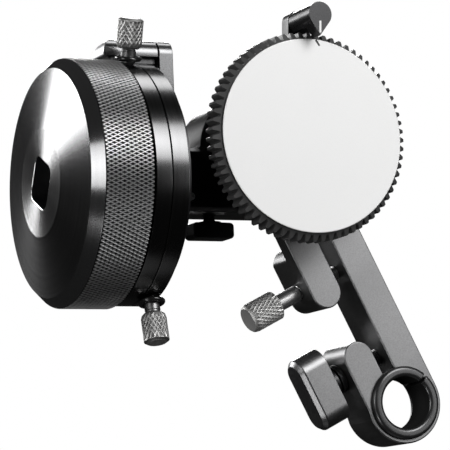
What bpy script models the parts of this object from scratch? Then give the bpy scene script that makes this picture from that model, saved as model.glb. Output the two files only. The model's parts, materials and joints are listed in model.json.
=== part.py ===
"""Lens follow focus: a tilted rod-clamp arm carries a swivelling gearbox.

A knurled handwheel with two adjustable stop rings turns a toothed lens gear
through a pair of crossed helical gears inside the gearbox.

World frame: origin at the centre of the rod bore, half-way through the arm.
X runs to the right, Y from front to back along the rod, Z up. Metres.
"""
from math import asin, cos, pi, radians, sin, sqrt

import bmesh
import bpy
from mathutils import Vector

# ---- fits shared by every group -------------------------------------------
SEAT_GAP = 0.0003        # between pieces that are fixed to each other
RUN_GAP = 0.0001         # radial gap of a shaft in its bearing
OVERRUN = 0.001          # how far a cutter runs past the face it cuts
WELD = 0.0000005         # merge distance of coincident points

# ---- facets ---------------------------------------------------------------
LARGE_SIDES = 60
ROUND_SIDES = 32
SMALL_SIDES = 20
SCREW_SIDES = 12
O_RING_STEPS = 6
CORNER_STEPS = 4

# ---- support arm: X across, Y front to back, Z up the arm ------------------
ARM_TILT = radians(26.5)
ARM_CENTRES = 0.0828         # rod bore to gear axis
ARM_WALL = 0.0024            # arm round the rod bushing
ARM_DEPTH = 0.0152
SLOT_WIDTH = 0.0040
JAW_INSET = 0.0004           # left jaws' outer sides, inside the arm's side
UPPER_JAW_END = 0.0078       # clamp screw to the free end of the upper jaw
LOWER_JAW_END = 0.0082       # wing knob's stud to the free end of the lower jaw
NECK_PLATE_DEPTH = 0.0048    # thickness of the arm round the gearbox neck
BAR_RELIEF = 0.0289          # gear axis to the full-depth part of the bar
JAW_RELIEF = 0.0282          # gear axis to the full-depth part of the jaw
ARM_EDGE = 0.0006            # chamfer of the arm's outline

# ---- rod bushing -----------------------------------------------------------
ROD_RADIUS = 0.0075
BUSH_WALL = 0.0020
BUSH_LENGTH = 0.0112
FLANGE_RIM = 0.00125         # flange beyond the bushing's outer radius
FLANGE_DEPTH = 0.0013
FLANGE_ROUND = 0.0005
BUSH_SLIT = 0.0010
BUSH_SLIT_ANGLE = radians(23.5)   # from across the arm towards up the arm

# ---- wing knob of the rod clamp --------------------------------------------
WING_RISE = 0.0052           # stud above the bushing, along the arm
WING_HALF_LENGTH = 0.01125
WING_THICKNESS = 0.0098
WING_LENGTH = 0.0093
WING_STANDOFF = 0.0037       # jaw's outer side to the knob's inner face
WING_CHAMFER = 0.0013
WING_COLLAR_RADIUS = 0.0040
WING_WASHER_RADIUS = 0.0044
WING_WASHER_DEPTH = 0.0015
WING_STUD_RADIUS = 0.0025
WING_STUD_REACH = 0.0080     # past the arm's centre line into the bar

# ---- thumb screw of the neck clamp -----------------------------------------
CLAMP_DROP = 0.0403          # below the gear axis, along the arm
CLAMP_KNOB_RADIUS = 0.0044
CLAMP_KNOB_LENGTH = 0.0103
CLAMP_KNOB_STANDOFF = 0.0079 # jaw's outer side to the knob's inner face
CLAMP_KNOB_CHAMFER = 0.0005
CLAMP_NECK_RADIUS = 0.0025
CLAMP_STUD_RADIUS = 0.0020
CLAMP_STUD_REACH = 0.0080

# ---- gearbox: X right, Y back, Z up from the gear axis ----------------------
BODY_HALF_WIDTH = 0.0218
BODY_TOP = 0.0157
BODY_FLOOR = 0.0024          # wall under the gear cavity
BODY_CORNER = 0.0147
BODY_CLEAR = 0.0009          # body behind the arm's neck plate
BAR_END = 0.0274             # gear axis to the left end of the square bar
BAR_TOP = 0.0004
BAR_CORNER = 0.0012
BODY_CHAMFER = 0.0012
CAVITY_HALF_WIDTH = 0.0080
CAVITY_FRONT_WALL = 0.0028
CAVITY_TOP = 0.0070
CAVITY_CLEAR = 0.0007        # under the wheel shaft's helical gear
CAVITY_FRONT_CLEAR = 0.001005
CAVITY_BACK_CLEAR = 0.0003
COVER_HALF_WIDTH = 0.0160
COVER_TOP = 0.0090
COVER_LAP = 0.0003           # cover over the cavity's lower edge
COVER_DEPTH = 0.0027
COVER_CORNER = 0.0020
COVER_SCREW_RADIUS = 0.0013
COVER_SCREW_INSET = 0.0028
COVER_SCREW_PITCH = 0.0072   # upper to lower screws, above the wheel's bearing
COVER_SCREW_LENGTH = 0.0050
SET_SCREW_INSET = 0.0018     # from the bar's left end
SET_SCREW_RISE = 0.0042      # above the bar's underside
SET_SCREW_RADIUS = 0.0012
SET_SCREW_LENGTH = 0.0022

# ---- neck, pointer plate and pointer ---------------------------------------
NECK_RADIUS = 0.0092
NECK_SEAT = 0.0025           # depth of the neck's seat in the body
NECK_REACH = 0.0092          # arm's front face to the neck's shoulder
SPIGOT_RADIUS = 0.0075
SPIGOT_LENGTH = 0.0044
NECK_BORE_RADIUS = 0.0063
POINTER_TILT = radians(2.6)
POINTER_PLATE_DEPTH = 0.0044
POINTER_PLATE_RING = 0.0120
POINTER_HALF_WIDTH = 0.0036
POINTER_RISE = 0.0077        # pointer's top above the tooth tips
POINTER_TOP_ROUND = 0.0030
POINTER_LEAD = 0.00605       # pointer's front face before the gear's
POINTER_CLEAR = 0.0010       # pointer's underside above the tooth tips

# ---- lens gear and white marking disc ---------------------------------------
GEAR_TEETH = 73
GEAR_MODULE = 0.0008
GEAR_WIDTH = 0.0075
GEAR_CHAMFER = 0.0014
TOOTH_TIP_SHARE = 0.16       # half width of a tooth's tip, in tooth spacings
TOOTH_ROOT_SHARE = 0.36      # half width of a tooth's foot, in tooth spacings
TOOTH_PHASE = radians(-0.45)
ADDENDUM_SHARE = 1.0         # tooth height above the pitch circle, in modules
DEDENDUM_SHARE = 1.25
DISC_INSET = 0.0004          # disc's edge inside the feet of the teeth
DISC_DEPTH = 0.0007
SHAFT_FLANGE_RADIUS = 0.0090
SHAFT_FLANGE_DEPTH = 0.0017

# ---- drive shaft ------------------------------------------------------------
DRIVE_RADIUS = 0.0040
CORE_RADIUS = 0.0027         # both shafts where they carry their helical gear
DRIVE_BUSH_LENGTH = 0.0080
BUSH_SHELL = 0.0019
CORE_END_LENGTH = 0.0020     # each core's journal past the gearbox cavity

# ---- crossed helical gears --------------------------------------------------
HELICAL_TEETH = 12
HELICAL_WIDTH = 0.0090
HELICAL_ADDENDUM = 0.00048
HELICAL_DEDENDUM = 0.00062
HELICAL_TIP_SHARE = 0.12
HELICAL_ROOT_SHARE = 0.33
HELICAL_SLICES = 4

# ---- handwheel: along X from the gear axis, turned about its own axis -------
WHEEL_DROP = 0.00963         # wheel axis below the gear axis
WHEEL_GAP = 0.0033           # stop plate to the wheel's back plate
WHEEL_FACE_RADIUS = 0.0155
CONE_DEPTH = 0.0026
EDGE_DEPTH = 0.0034          # polished chamfer, along the axis
EDGE_HEIGHT = 0.0030         # polished chamfer, across the radius
GRIP_LENGTH = 0.0143
GRIP_RADIUS = 0.0358
SLEEVE_WALL = 0.0040
POCKET_DEPTH = 0.0208
HUB_RADIUS = 0.0110
SOCKET_WIDTH = 0.0130
SOCKET_CORNER = 0.0029
SOCKET_DEPTH = 0.0090
SOCKET_TURN = radians(28)
BACK_PLATE_LAP = 0.0020      # back plate over the stop ring's side
BACK_PLATE_DEPTH = 0.0015
WHEEL_NUT_RADIUS = 0.0056
WHEEL_NUT_DEPTH = 0.0030
WHEEL_NUT_HEX = 0.0025
WHEEL_NUT_HEX_DEPTH = 0.0018
WHEEL_SHAFT_RADIUS = 0.0040

# ---- stop rings and their screws --------------------------------------------
RING_STEP = 0.0009           # rings below the grip
RING_WALL = 0.0049
RING_WIDTH_1 = 0.0055
RING_WIDTH_2 = 0.0051
STOP_SCREW_INSET_1 = 0.0023  # from the joint between the two rings
STOP_SCREW_INSET_2 = 0.0031
STOP_ANGLE_1 = radians(17)           # from the top towards the front
STOP_ANGLE_2 = radians(180 - 14)
O_RING_RADIUS = 0.0032
O_RING_SECTION = 0.00075
O_RING_LIFT_1 = 0.0008       # first O-ring over the grip, beside which it lies
O_RING_LIFT_2 = 0.0011       # second O-ring over its own ring
STOP_NECK_RADIUS = 0.00225
STOP_STUD_RADIUS = 0.0016
STOP_KNOB_RADIUS = 0.0037
STOP_NECK_LENGTH = 0.0045    # ring to knob
STOP_KNOB_LENGTH = 0.0088
STOP_KNOB_CHAMFER = 0.0007

# ---- stop plate and stop block ----------------------------------------------
STOP_PLATE_DEPTH = 0.0044
STOP_HALF_WIDTH = 0.00425
STOP_BLOCK_HEIGHT = 0.0053
STOP_BLOCK_CLEAR = 0.0012    # over the grip
STOP_BLOCK_LAP = 0.0014      # nose of the block past the grip's edge
STOP_BLOCK_NOSE = 0.0047
PLATE_HOLE_RADIUS = 0.0050
PLATE_SCREW_SPREAD = 0.0060
PLATE_SCREW_DROP = 0.0032
PLATE_SCREW_HEAD = 0.0019
PLATE_SCREW_HEAD_DEPTH = 0.0016
PLATE_SCREW_RADIUS = 0.0011
PLATE_SCREW_LENGTH = 0.0085

# ---- T-shaped locking knob under the bar --------------------------------------
T_KNOB_INSET = 0.0109        # from the bar's left end
T_KNOB_STANDOFF = 0.0024     # under the bar
T_KNOB_HEIGHT = 0.0047
T_KNOB_HALF_LENGTH = 0.0070
T_KNOB_THICKNESS = 0.0070
T_KNOB_ROUND = 0.0012
T_BOSS_RADIUS = 0.00345
T_BOSS_HEIGHT = 0.0004
T_STUD_RADIUS = 0.00175

# ---- sizes that follow from the ones above -----------------------------------
BUSH_RADIUS = ROD_RADIUS + BUSH_WALL
FLANGE_RADIUS = BUSH_RADIUS + FLANGE_RIM
ARM_HALF = BUSH_RADIUS + ARM_WALL
ARM_MID = ARM_DEPTH / 2
SLOT_HALF = SLOT_WIDTH / 2
JAW_SIDE = ARM_HALF - JAW_INSET
JAW_ROUND = (JAW_SIDE - SLOT_HALF) / 2
JAW_CENTRE = SLOT_HALF + JAW_ROUND
WING_HEIGHT = BUSH_RADIUS + WING_RISE
WING_INNER = JAW_SIDE + WING_STANDOFF
WING_OUTER = WING_INNER + WING_LENGTH
CLAMP_KNOB_INNER = JAW_SIDE + CLAMP_KNOB_STANDOFF
CLAMP_KNOB_OUTER = CLAMP_KNOB_INNER + CLAMP_KNOB_LENGTH
UPPER_JAW_LENGTH = CLAMP_DROP + UPPER_JAW_END
LOWER_JAW_LENGTH = WING_HEIGHT + LOWER_JAW_END
GEAR_X = -ARM_CENTRES * sin(ARM_TILT)
GEAR_Z = ARM_CENTRES * cos(ARM_TILT)

HELICAL_PITCH = WHEEL_DROP / 2
CAVITY_BOTTOM = WHEEL_DROP + HELICAL_PITCH + HELICAL_ADDENDUM + CAVITY_CLEAR
BODY_BOTTOM = CAVITY_BOTTOM + BODY_FLOOR
BODY_FRONT = ARM_MID - NECK_PLATE_DEPTH - BODY_CLEAR
CAVITY_FRONT = CAVITY_FRONT_WALL - BODY_FRONT
WHEEL_BACK = CAVITY_FRONT + CAVITY_FRONT_CLEAR + HELICAL_PITCH + HELICAL_ADDENDUM
CAVITY_BACK = WHEEL_BACK + HELICAL_PITCH + HELICAL_ADDENDUM + CAVITY_BACK_CLEAR
BODY_BACK = CAVITY_BACK + SEAT_GAP + COVER_DEPTH
COVER_BOTTOM = CAVITY_BOTTOM + COVER_LAP
SET_SCREW_X = BAR_END - SET_SCREW_INSET
SET_SCREW_DROP = BODY_BOTTOM - SET_SCREW_RISE
WHEEL_BUSH_RADIUS = WHEEL_SHAFT_RADIUS + RUN_GAP + BUSH_SHELL - SEAT_GAP
DRIVE_BUSH_RADIUS = DRIVE_RADIUS + RUN_GAP + BUSH_SHELL
T_KNOB_X = BAR_END - T_KNOB_INSET
T_KNOB_TOP = BODY_BOTTOM + T_KNOB_STANDOFF
T_KNOB_BOTTOM = T_KNOB_TOP + T_KNOB_HEIGHT

NECK_FRONT = ARM_MID + NECK_REACH
GEAR_BACK = NECK_FRONT + SEAT_GAP + POINTER_PLATE_DEPTH + SEAT_GAP
GEAR_FRONT = GEAR_BACK + GEAR_WIDTH
GEAR_TIP = GEAR_MODULE * (GEAR_TEETH / 2 + ADDENDUM_SHARE)
GEAR_ROOT = GEAR_MODULE * (GEAR_TEETH / 2 - DEDENDUM_SHARE)
DISC_RADIUS = GEAR_ROOT - DISC_INSET
POINTER_TIP = DISC_RADIUS
POINTER_TOP = GEAR_TIP + POINTER_RISE
POINTER_FRONT = GEAR_FRONT + POINTER_LEAD

PLATE_RIGHT = BAR_END + SEAT_GAP
PLATE_LEFT = PLATE_RIGHT + STOP_PLATE_DEPTH
SLEEVE_END = PLATE_LEFT + WHEEL_GAP + BACK_PLATE_DEPTH + SEAT_GAP
RING_SPLIT = SLEEVE_END + RING_WIDTH_2
GRIP_END = RING_SPLIT + RING_WIDTH_1 + SEAT_GAP
GRIP_START = GRIP_END + GRIP_LENGTH
CONE_EDGE = GRIP_START + EDGE_DEPTH
WHEEL_FACE = CONE_EDGE + CONE_DEPTH
POCKET_START = SLEEVE_END + POCKET_DEPTH
CONE_RADIUS = GRIP_RADIUS - EDGE_HEIGHT
RING_RADIUS = GRIP_RADIUS - RING_STEP
SLEEVE_RADIUS = RING_RADIUS - RING_WALL
POCKET_RADIUS = SLEEVE_RADIUS - SLEEVE_WALL
BACK_PLATE_RADIUS = SLEEVE_RADIUS + BACK_PLATE_LAP
STOP_SCREW_X_1 = RING_SPLIT + STOP_SCREW_INSET_1
STOP_SCREW_X_2 = RING_SPLIT - STOP_SCREW_INSET_2
O_RING_HEIGHT_1 = GRIP_RADIUS + O_RING_LIFT_1
O_RING_HEIGHT_2 = RING_RADIUS + O_RING_LIFT_2
STOP_KNOB_START = RING_RADIUS + STOP_NECK_LENGTH
STOP_KNOB_END = STOP_KNOB_START + STOP_KNOB_LENGTH
STOP_BLOCK_BOTTOM = GRIP_RADIUS + STOP_BLOCK_CLEAR - WHEEL_DROP
STOP_TOP = STOP_BLOCK_BOTTOM + STOP_BLOCK_HEIGHT
STOP_BLOCK_FRONT = GRIP_END + STOP_BLOCK_LAP


# ---- modelling helpers --------------------------------------------------------
def clear_scene():
    for item in list(bpy.data.objects):
        bpy.data.objects.remove(item, do_unlink=True)


def make_material(name, colour, roughness, metallic):
    mat = bpy.data.materials.new(name)
    mat.use_nodes = True
    shader = mat.node_tree.nodes["Principled BSDF"]
    shader.inputs["Base Color"].default_value = (*colour, 1.0)
    shader.inputs["Roughness"].default_value = roughness
    shader.inputs["Metallic"].default_value = metallic
    mat.diffuse_color = (*colour, 1.0)
    return mat


def make_empty(name, parent=None, location=(0, 0, 0), rotation=(0, 0, 0)):
    empty = bpy.data.objects.new(name, None)
    bpy.context.scene.collection.objects.link(empty)
    empty.parent = parent
    empty.location = location
    empty.rotation_euler = rotation
    return empty


def make_object(name, bm, parent, mat=None, location=(0, 0, 0), rotation=(0, 0, 0)):
    bmesh.ops.remove_doubles(bm, verts=bm.verts, dist=WELD)
    bmesh.ops.recalc_face_normals(bm, faces=bm.faces)
    mesh = bpy.data.meshes.new(name)
    bm.to_mesh(mesh)
    bm.free()
    mesh.shade_smooth()
    mesh.set_sharp_from_angle(angle=radians(32))
    item = bpy.data.objects.new(name, mesh)
    bpy.context.scene.collection.objects.link(item)
    item.parent = parent
    item.location = location
    item.rotation_euler = rotation
    if mat is not None:
        mesh.materials.append(mat)
    return item


def make_cutter(name, bm, parent, location=(0, 0, 0), rotation=(0, 0, 0)):
    cutter = make_object("cut_" + name, bm, parent, None, location, rotation)
    cutter.hide_render = True
    cutter.display_type = "WIRE"
    return cutter


def boolean(item, other, operation="DIFFERENCE"):
    mod = item.modifiers.new(other.name, "BOOLEAN")
    mod.operation = operation
    mod.solver = "EXACT"
    mod.object = other


# Rotations that stand a turned profile's height along X or along Y.
ALONG_X = (0, pi / 2, 0)
ALONG_Y = (-pi / 2, 0, 0)


def turned(profile, sides):
    """Spin a (radius, height) outline about Z into one closed body."""
    bm = bmesh.new()
    verts = [bm.verts.new((radius, 0, height)) for radius, height in profile]
    edges = [bm.edges.new(pair) for pair in zip(verts, verts[1:])]
    if profile[0][0] > 0:
        edges.append(bm.edges.new((verts[-1], verts[0])))
    bmesh.ops.spin(bm, geom=verts + edges, cent=(0, 0, 0), axis=(0, 0, 1),
                   angle=2 * pi, steps=sides, use_merge=True)
    return bm


def rod(radius, low, high, sides=SMALL_SIDES, low_edge=0, high_edge=0):
    """A solid bar along Z with an optional chamfer at either end."""
    profile = [(0, low)]
    if low_edge:
        profile.append((radius - low_edge, low))
    profile.append((radius, low + low_edge))
    profile.append((radius, high - high_edge))
    if high_edge:
        profile.append((radius - high_edge, high))
    profile.append((0, high))
    return turned(profile, sides)


def tube(inner, outer, low, high, sides=ROUND_SIDES, edge=0):
    profile = [(inner, low)]
    if edge:
        profile += [(outer - edge, low), (outer, low + edge)]
        profile += [(outer, high - edge), (outer - edge, high)]
    else:
        profile += [(outer, low), (outer, high)]
    profile.append((inner, high))
    return turned(profile, sides)


def loft(rings):
    """Join rings of equal point counts with faces and close both ends."""
    bm = bmesh.new()
    rows = [[bm.verts.new(point) for point in ring] for ring in rings]
    count = len(rows[0])
    for first, second in zip(rows, rows[1:]):
        for i in range(count):
            j = (i + 1) % count
            bm.faces.new((first[i], first[j], second[j], second[i]))
    bm.faces.new(rows[0])
    bm.faces.new(list(reversed(rows[-1])))
    return bm


def place(outline, offset, axis):
    """Stand a flat outline across X (y, z), Y (x, z) or Z (x, y)."""
    if axis == "X":
        return [(offset, a, b) for a, b in outline]
    if axis == "Y":
        return [(a, offset, b) for a, b in outline]
    return [(a, b, offset) for a, b in outline]


def prism(outline, start, end, axis):
    bm = bmesh.new()
    face = bm.faces.new([bm.verts.new(point) for point in place(outline, start, axis)])
    grown = bmesh.ops.extrude_face_region(bm, geom=[face])
    moved = [v for v in grown["geom"] if isinstance(v, bmesh.types.BMVert)]
    travel = Vector(place([(0, 0)], end - start, axis)[0])
    bmesh.ops.translate(bm, verts=moved, vec=travel)
    return bm


def arc(centre, radius, start, end, steps):
    return [(centre[0] + radius * cos(start + (end - start) * i / steps),
             centre[1] + radius * sin(start + (end - start) * i / steps))
            for i in range(steps + 1)]


def stadium(centre_a, centre_b, radius, steps=SMALL_SIDES // 2):
    """Outline round two circles whose centres lie one above the other."""
    return (arc(centre_a, radius, pi, 2 * pi, steps)
            + arc(centre_b, radius, 0, pi, steps))


def rounded_box(left, right, low, high, radius, steps=CORNER_STEPS):
    return (arc((right - radius, low + radius), radius, -pi / 2, 0, steps)
            + arc((right - radius, high - radius), radius, 0, pi / 2, steps)
            + arc((left + radius, high - radius), radius, pi / 2, pi, steps)
            + arc((left + radius, low + radius), radius, pi, 3 * pi / 2, steps))


def box_outline(left, right, low, high):
    return [(left, low), (right, low), (right, high), (left, high)]


# ---- materials ------------------------------------------------------------------
def make_materials():
    return {
        "black_alu": make_material("black_alu", (0.040, 0.040, 0.042), 0.36, 0.75),
        "grey_alu": make_material("grey_alu", (0.105, 0.105, 0.108), 0.34, 0.80),
        "silver": make_material("silver", (0.420, 0.420, 0.415), 0.33, 1.00),
        "steel": make_material("steel", (0.500, 0.500, 0.500), 0.28, 1.00),
        "black_gear": make_material("black_gear", (0.018, 0.018, 0.018), 0.42, 0.0),
        "white_disc": make_material("white_disc", (0.880, 0.880, 0.880), 0.18, 0.0),
        "rubber": make_material("rubber", (0.015, 0.015, 0.015), 0.22, 0.0),
        "bronze": make_material("bronze", (0.480, 0.310, 0.160), 0.40, 1.00),
    }


# ---- support arm ------------------------------------------------------------------
def jaw_gap_outline():
    """Both slots and the open gap between the two left jaws, as one cutter."""
    out = ARM_HALF + OVERRUN
    upper_centre = ARM_CENTRES - UPPER_JAW_LENGTH + JAW_ROUND
    lower_centre = LOWER_JAW_LENGTH - JAW_ROUND
    # where the jaws' outer sides run into the round ends of the arm
    blend = sqrt(ARM_HALF ** 2 - JAW_SIDE ** 2)
    points = [(SLOT_HALF, BUSH_RADIUS / 2),
              (SLOT_HALF, ARM_CENTRES - NECK_RADIUS / 2),
              (-SLOT_HALF, ARM_CENTRES - NECK_RADIUS / 2)]
    points += arc((-JAW_CENTRE, upper_centre), JAW_ROUND, 0, -pi, CORNER_STEPS * 2)
    points += [(-JAW_SIDE, ARM_CENTRES - blend), (-out, ARM_CENTRES - blend),
               (-out, blend), (-JAW_SIDE, blend)]
    points += arc((-JAW_CENTRE, lower_centre), JAW_ROUND, pi, 0, CORNER_STEPS * 2)
    points.append((-SLOT_HALF, BUSH_RADIUS / 2))
    return points


def relief_outline():
    """Space behind the neck plate, where the gearbox body swings."""
    out = ARM_HALF + OVERRUN
    bar = ARM_CENTRES - BAR_RELIEF
    boss = ARM_CENTRES - JAW_RELIEF - JAW_ROUND
    points = [(out, bar), (out, ARM_CENTRES + out), (-out, ARM_CENTRES + out), (-out, boss)]
    points += arc((-JAW_CENTRE, boss), JAW_ROUND, pi, 0, CORNER_STEPS * 2)
    points.append((-SLOT_HALF, bar))
    return points


def build_arm(frame, mats):
    full = stadium((0, 0), (0, ARM_CENTRES), ARM_HALF, ROUND_SIDES // 2)
    inset = stadium((0, 0), (0, ARM_CENTRES), ARM_HALF - ARM_EDGE, ROUND_SIDES // 2)
    bm = loft([place(inset, -ARM_MID, "Y"), place(full, -ARM_MID + ARM_EDGE, "Y"),
               place(full, ARM_MID - ARM_EDGE, "Y"), place(inset, ARM_MID, "Y")])
    arm = make_object("arm", bm, frame, mats["grey_alu"])
    far = ARM_MID + OVERRUN
    boolean(arm, make_cutter("jaw_gap", prism(jaw_gap_outline(), -far, far, "Y"), frame))
    boolean(arm, make_cutter("relief", prism(
        relief_outline(), NECK_PLATE_DEPTH - ARM_MID, far, "Y"), frame))
    boolean(arm, make_cutter("rod_seat", rod(
        BUSH_RADIUS + SEAT_GAP, -far, far, ROUND_SIDES), frame, rotation=ALONG_Y))
    boolean(arm, make_cutter("neck_seat", rod(
        NECK_RADIUS + RUN_GAP, -far, far, LARGE_SIDES), frame,
        (0, 0, ARM_CENTRES), ALONG_Y))
    boolean(arm, make_cutter("wing_hole", rod(
        WING_STUD_RADIUS + SEAT_GAP, -ARM_HALF - OVERRUN, WING_STUD_REACH + SEAT_GAP),
        frame, (0, 0, WING_HEIGHT), ALONG_X))
    boolean(arm, make_cutter("clamp_hole", rod(
        CLAMP_STUD_RADIUS + SEAT_GAP, -ARM_HALF - OVERRUN, CLAMP_STUD_REACH + SEAT_GAP),
        frame, (0, 0, ARM_CENTRES - CLAMP_DROP), ALONG_X))
    return arm


def build_rod_bushing(frame, mats):
    face = -ARM_MID - SEAT_GAP
    front = face - FLANGE_DEPTH
    profile = [(ROD_RADIUS, front + FLANGE_ROUND),
               (ROD_RADIUS + FLANGE_ROUND, front),
               (FLANGE_RADIUS - FLANGE_ROUND, front),
               (FLANGE_RADIUS, front + FLANGE_ROUND),
               (FLANGE_RADIUS, face),
               (BUSH_RADIUS, face),
               (BUSH_RADIUS, front + BUSH_LENGTH),
               (ROD_RADIUS, front + BUSH_LENGTH)]
    bush = make_object("rod_bushing", turned(profile, ROUND_SIDES), frame,
                       mats["black_alu"], rotation=ALONG_Y)
    slit = prism(box_outline(ROD_RADIUS / 2, FLANGE_RADIUS + OVERRUN, -BUSH_SLIT / 2, BUSH_SLIT / 2),
                 front - OVERRUN, front + BUSH_LENGTH + OVERRUN, "Y")
    boolean(bush, make_cutter("bush_slit", slit, frame, rotation=(0, -BUSH_SLIT_ANGLE, 0)))


def build_wing_knob(frame, mats):
    axis = make_empty("wing_axis", frame, (0, 0, WING_HEIGHT))
    reach = WING_HALF_LENGTH - WING_THICKNESS / 2
    full = stadium((0, -reach), (0, reach), WING_THICKNESS / 2)
    inset = stadium((0, -reach), (0, reach), WING_THICKNESS / 2 - WING_CHAMFER)
    bm = loft([place(inset, -WING_OUTER, "X"), place(full, -WING_OUTER + WING_CHAMFER, "X"),
               place(full, -WING_INNER, "X")])
    make_object("wing_knob", bm, axis, mats["grey_alu"])
    washer_out = JAW_SIDE + SEAT_GAP + WING_WASHER_DEPTH
    collar_in = washer_out + SEAT_GAP
    profile = [(0, -WING_INNER + SEAT_GAP), (WING_COLLAR_RADIUS, -WING_INNER + SEAT_GAP),
               (WING_COLLAR_RADIUS, -collar_in), (WING_STUD_RADIUS, -collar_in),
               (WING_STUD_RADIUS, WING_STUD_REACH), (0, WING_STUD_REACH)]
    make_object("wing_stud", turned(profile, SMALL_SIDES), axis, mats["steel"], rotation=ALONG_X)
    washer = tube(WING_STUD_RADIUS + SEAT_GAP, WING_WASHER_RADIUS, -washer_out,
                  -JAW_SIDE - SEAT_GAP, SMALL_SIDES)
    make_object("wing_washer", washer, axis, mats["black_alu"], rotation=ALONG_X)


def build_clamp_screw(frame, mats):
    axis = make_empty("clamp_axis", frame, (0, 0, ARM_CENTRES - CLAMP_DROP))
    knob = rod(CLAMP_KNOB_RADIUS, -CLAMP_KNOB_OUTER, -CLAMP_KNOB_INNER, SMALL_SIDES,
               CLAMP_KNOB_CHAMFER, CLAMP_KNOB_CHAMFER)
    make_object("clamp_knob", knob, axis, mats["silver"], rotation=ALONG_X)
    face = -JAW_SIDE - SEAT_GAP
    profile = [(0, -CLAMP_KNOB_INNER + SEAT_GAP), (CLAMP_NECK_RADIUS, -CLAMP_KNOB_INNER + SEAT_GAP),
               (CLAMP_NECK_RADIUS, face), (CLAMP_STUD_RADIUS, face),
               (CLAMP_STUD_RADIUS, CLAMP_STUD_REACH), (0, CLAMP_STUD_REACH)]
    make_object("clamp_stud", turned(profile, SMALL_SIDES), axis, mats["steel"], rotation=ALONG_X)


# ---- gearbox ------------------------------------------------------------------------
def body_outline(inset):
    """Front view of the gearbox: body with round shoulders and a square bar."""
    centre_z = BODY_TOP - BODY_CORNER
    centre_x = BODY_HALF_WIDTH - BODY_CORNER
    # the left shoulder runs into the bar's top round a small hollow corner
    reach = BODY_CORNER + BAR_CORNER
    rise = BAR_TOP + BAR_CORNER - centre_z
    lean = asin(rise / reach)
    round_top = BODY_CORNER - inset
    points = [(-BAR_END, -BODY_BOTTOM), (BODY_HALF_WIDTH - inset, -BODY_BOTTOM)]
    points += arc((centre_x, centre_z), round_top, 0, pi / 2, CORNER_STEPS * 2)
    points += arc((-centre_x, centre_z), round_top, pi / 2, pi - lean, CORNER_STEPS * 2)
    points += arc((-centre_x - reach * cos(lean), centre_z + rise), BAR_CORNER + inset,
                  -lean, -pi / 2, CORNER_STEPS)[1:]
    points.append((-BAR_END, BAR_TOP - inset))
    return points


def cover_screw_places():
    x = COVER_HALF_WIDTH - COVER_SCREW_INSET
    high = COVER_TOP - COVER_SCREW_INSET
    low = high - COVER_SCREW_PITCH
    return [(-x, high), (x, high), (-x, low), (x, low)]


def cut_wheel_bores(housing, frame):
    low = -BAR_END - OVERRUN
    boolean(housing, make_cutter("wheel_bush_seat", rod(
        WHEEL_BUSH_RADIUS + SEAT_GAP, low, -CAVITY_HALF_WIDTH + OVERRUN, ROUND_SIDES),
        frame, (0, WHEEL_BACK, -WHEEL_DROP), ALONG_X))
    boolean(housing, make_cutter("wheel_journal", rod(
        CORE_RADIUS + RUN_GAP, CAVITY_HALF_WIDTH - OVERRUN,
        CAVITY_HALF_WIDTH + CORE_END_LENGTH + 2 * SEAT_GAP),
        frame, (0, WHEEL_BACK, -WHEEL_DROP), ALONG_X))


def build_housing(frame, mats):
    plain = body_outline(0)
    bm = loft([place(body_outline(BODY_CHAMFER), -BODY_FRONT, "Y"),
               place(plain, -BODY_FRONT + BODY_CHAMFER, "Y"), place(plain, BODY_BACK, "Y")])
    housing = make_object("housing", bm, frame, mats["black_alu"])
    cavity = prism(box_outline(-CAVITY_HALF_WIDTH, CAVITY_HALF_WIDTH, -CAVITY_BOTTOM, CAVITY_TOP),
                   CAVITY_FRONT, CAVITY_BACK + OVERRUN, "Y")
    boolean(housing, make_cutter("cavity", cavity, frame))
    wide = COVER_HALF_WIDTH + SEAT_GAP
    recess = prism(rounded_box(-wide, wide, -COVER_BOTTOM - SEAT_GAP, COVER_TOP + SEAT_GAP,
                               COVER_CORNER + SEAT_GAP), CAVITY_BACK, BODY_BACK + OVERRUN, "Y")
    boolean(housing, make_cutter("cover_recess", recess, frame))
    boolean(housing, make_cutter("neck_recess", rod(
        NECK_RADIUS + SEAT_GAP, -BODY_FRONT - OVERRUN, NECK_SEAT - BODY_FRONT + SEAT_GAP,
        ROUND_SIDES), frame, rotation=ALONG_Y))
    boolean(housing, make_cutter("drive_hole", rod(
        DRIVE_RADIUS + OVERRUN, NECK_SEAT - BODY_FRONT, CAVITY_FRONT + OVERRUN, ROUND_SIDES),
        frame, rotation=ALONG_Y))
    cut_wheel_bores(housing, frame)
    boolean(housing, make_cutter("t_stud_hole", rod(
        T_STUD_RADIUS + SEAT_GAP, -BODY_BOTTOM - OVERRUN, -WHEEL_DROP), frame,
        (-T_KNOB_X, WHEEL_BACK, 0)))
    boolean(housing, make_cutter("set_screw_hole", rod(
        SET_SCREW_RADIUS + SEAT_GAP, -BODY_FRONT - OVERRUN,
        SET_SCREW_LENGTH - BODY_FRONT + SEAT_GAP, SCREW_SIDES),
        frame, (-SET_SCREW_X, 0, -SET_SCREW_DROP), ALONG_Y))
    for side in (-1, 1):
        name = "plate_thread_1" if side < 0 else "plate_thread_2"
        boolean(housing, make_cutter(name, rod(
            PLATE_SCREW_RADIUS + SEAT_GAP, -BAR_END - OVERRUN,
            -PLATE_LEFT + PLATE_SCREW_LENGTH + SEAT_GAP, SCREW_SIDES),
            frame, (0, WHEEL_BACK + side * PLATE_SCREW_SPREAD, -PLATE_SCREW_DROP), ALONG_X))
    for i, (x, z) in enumerate(cover_screw_places(), 1):
        boolean(housing, make_cutter("cover_thread_%d" % i, rod(
            COVER_SCREW_RADIUS + SEAT_GAP, BODY_BACK - COVER_SCREW_LENGTH - SEAT_GAP,
            CAVITY_BACK + OVERRUN, SCREW_SIDES), frame, (x, 0, z), ALONG_Y))


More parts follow.
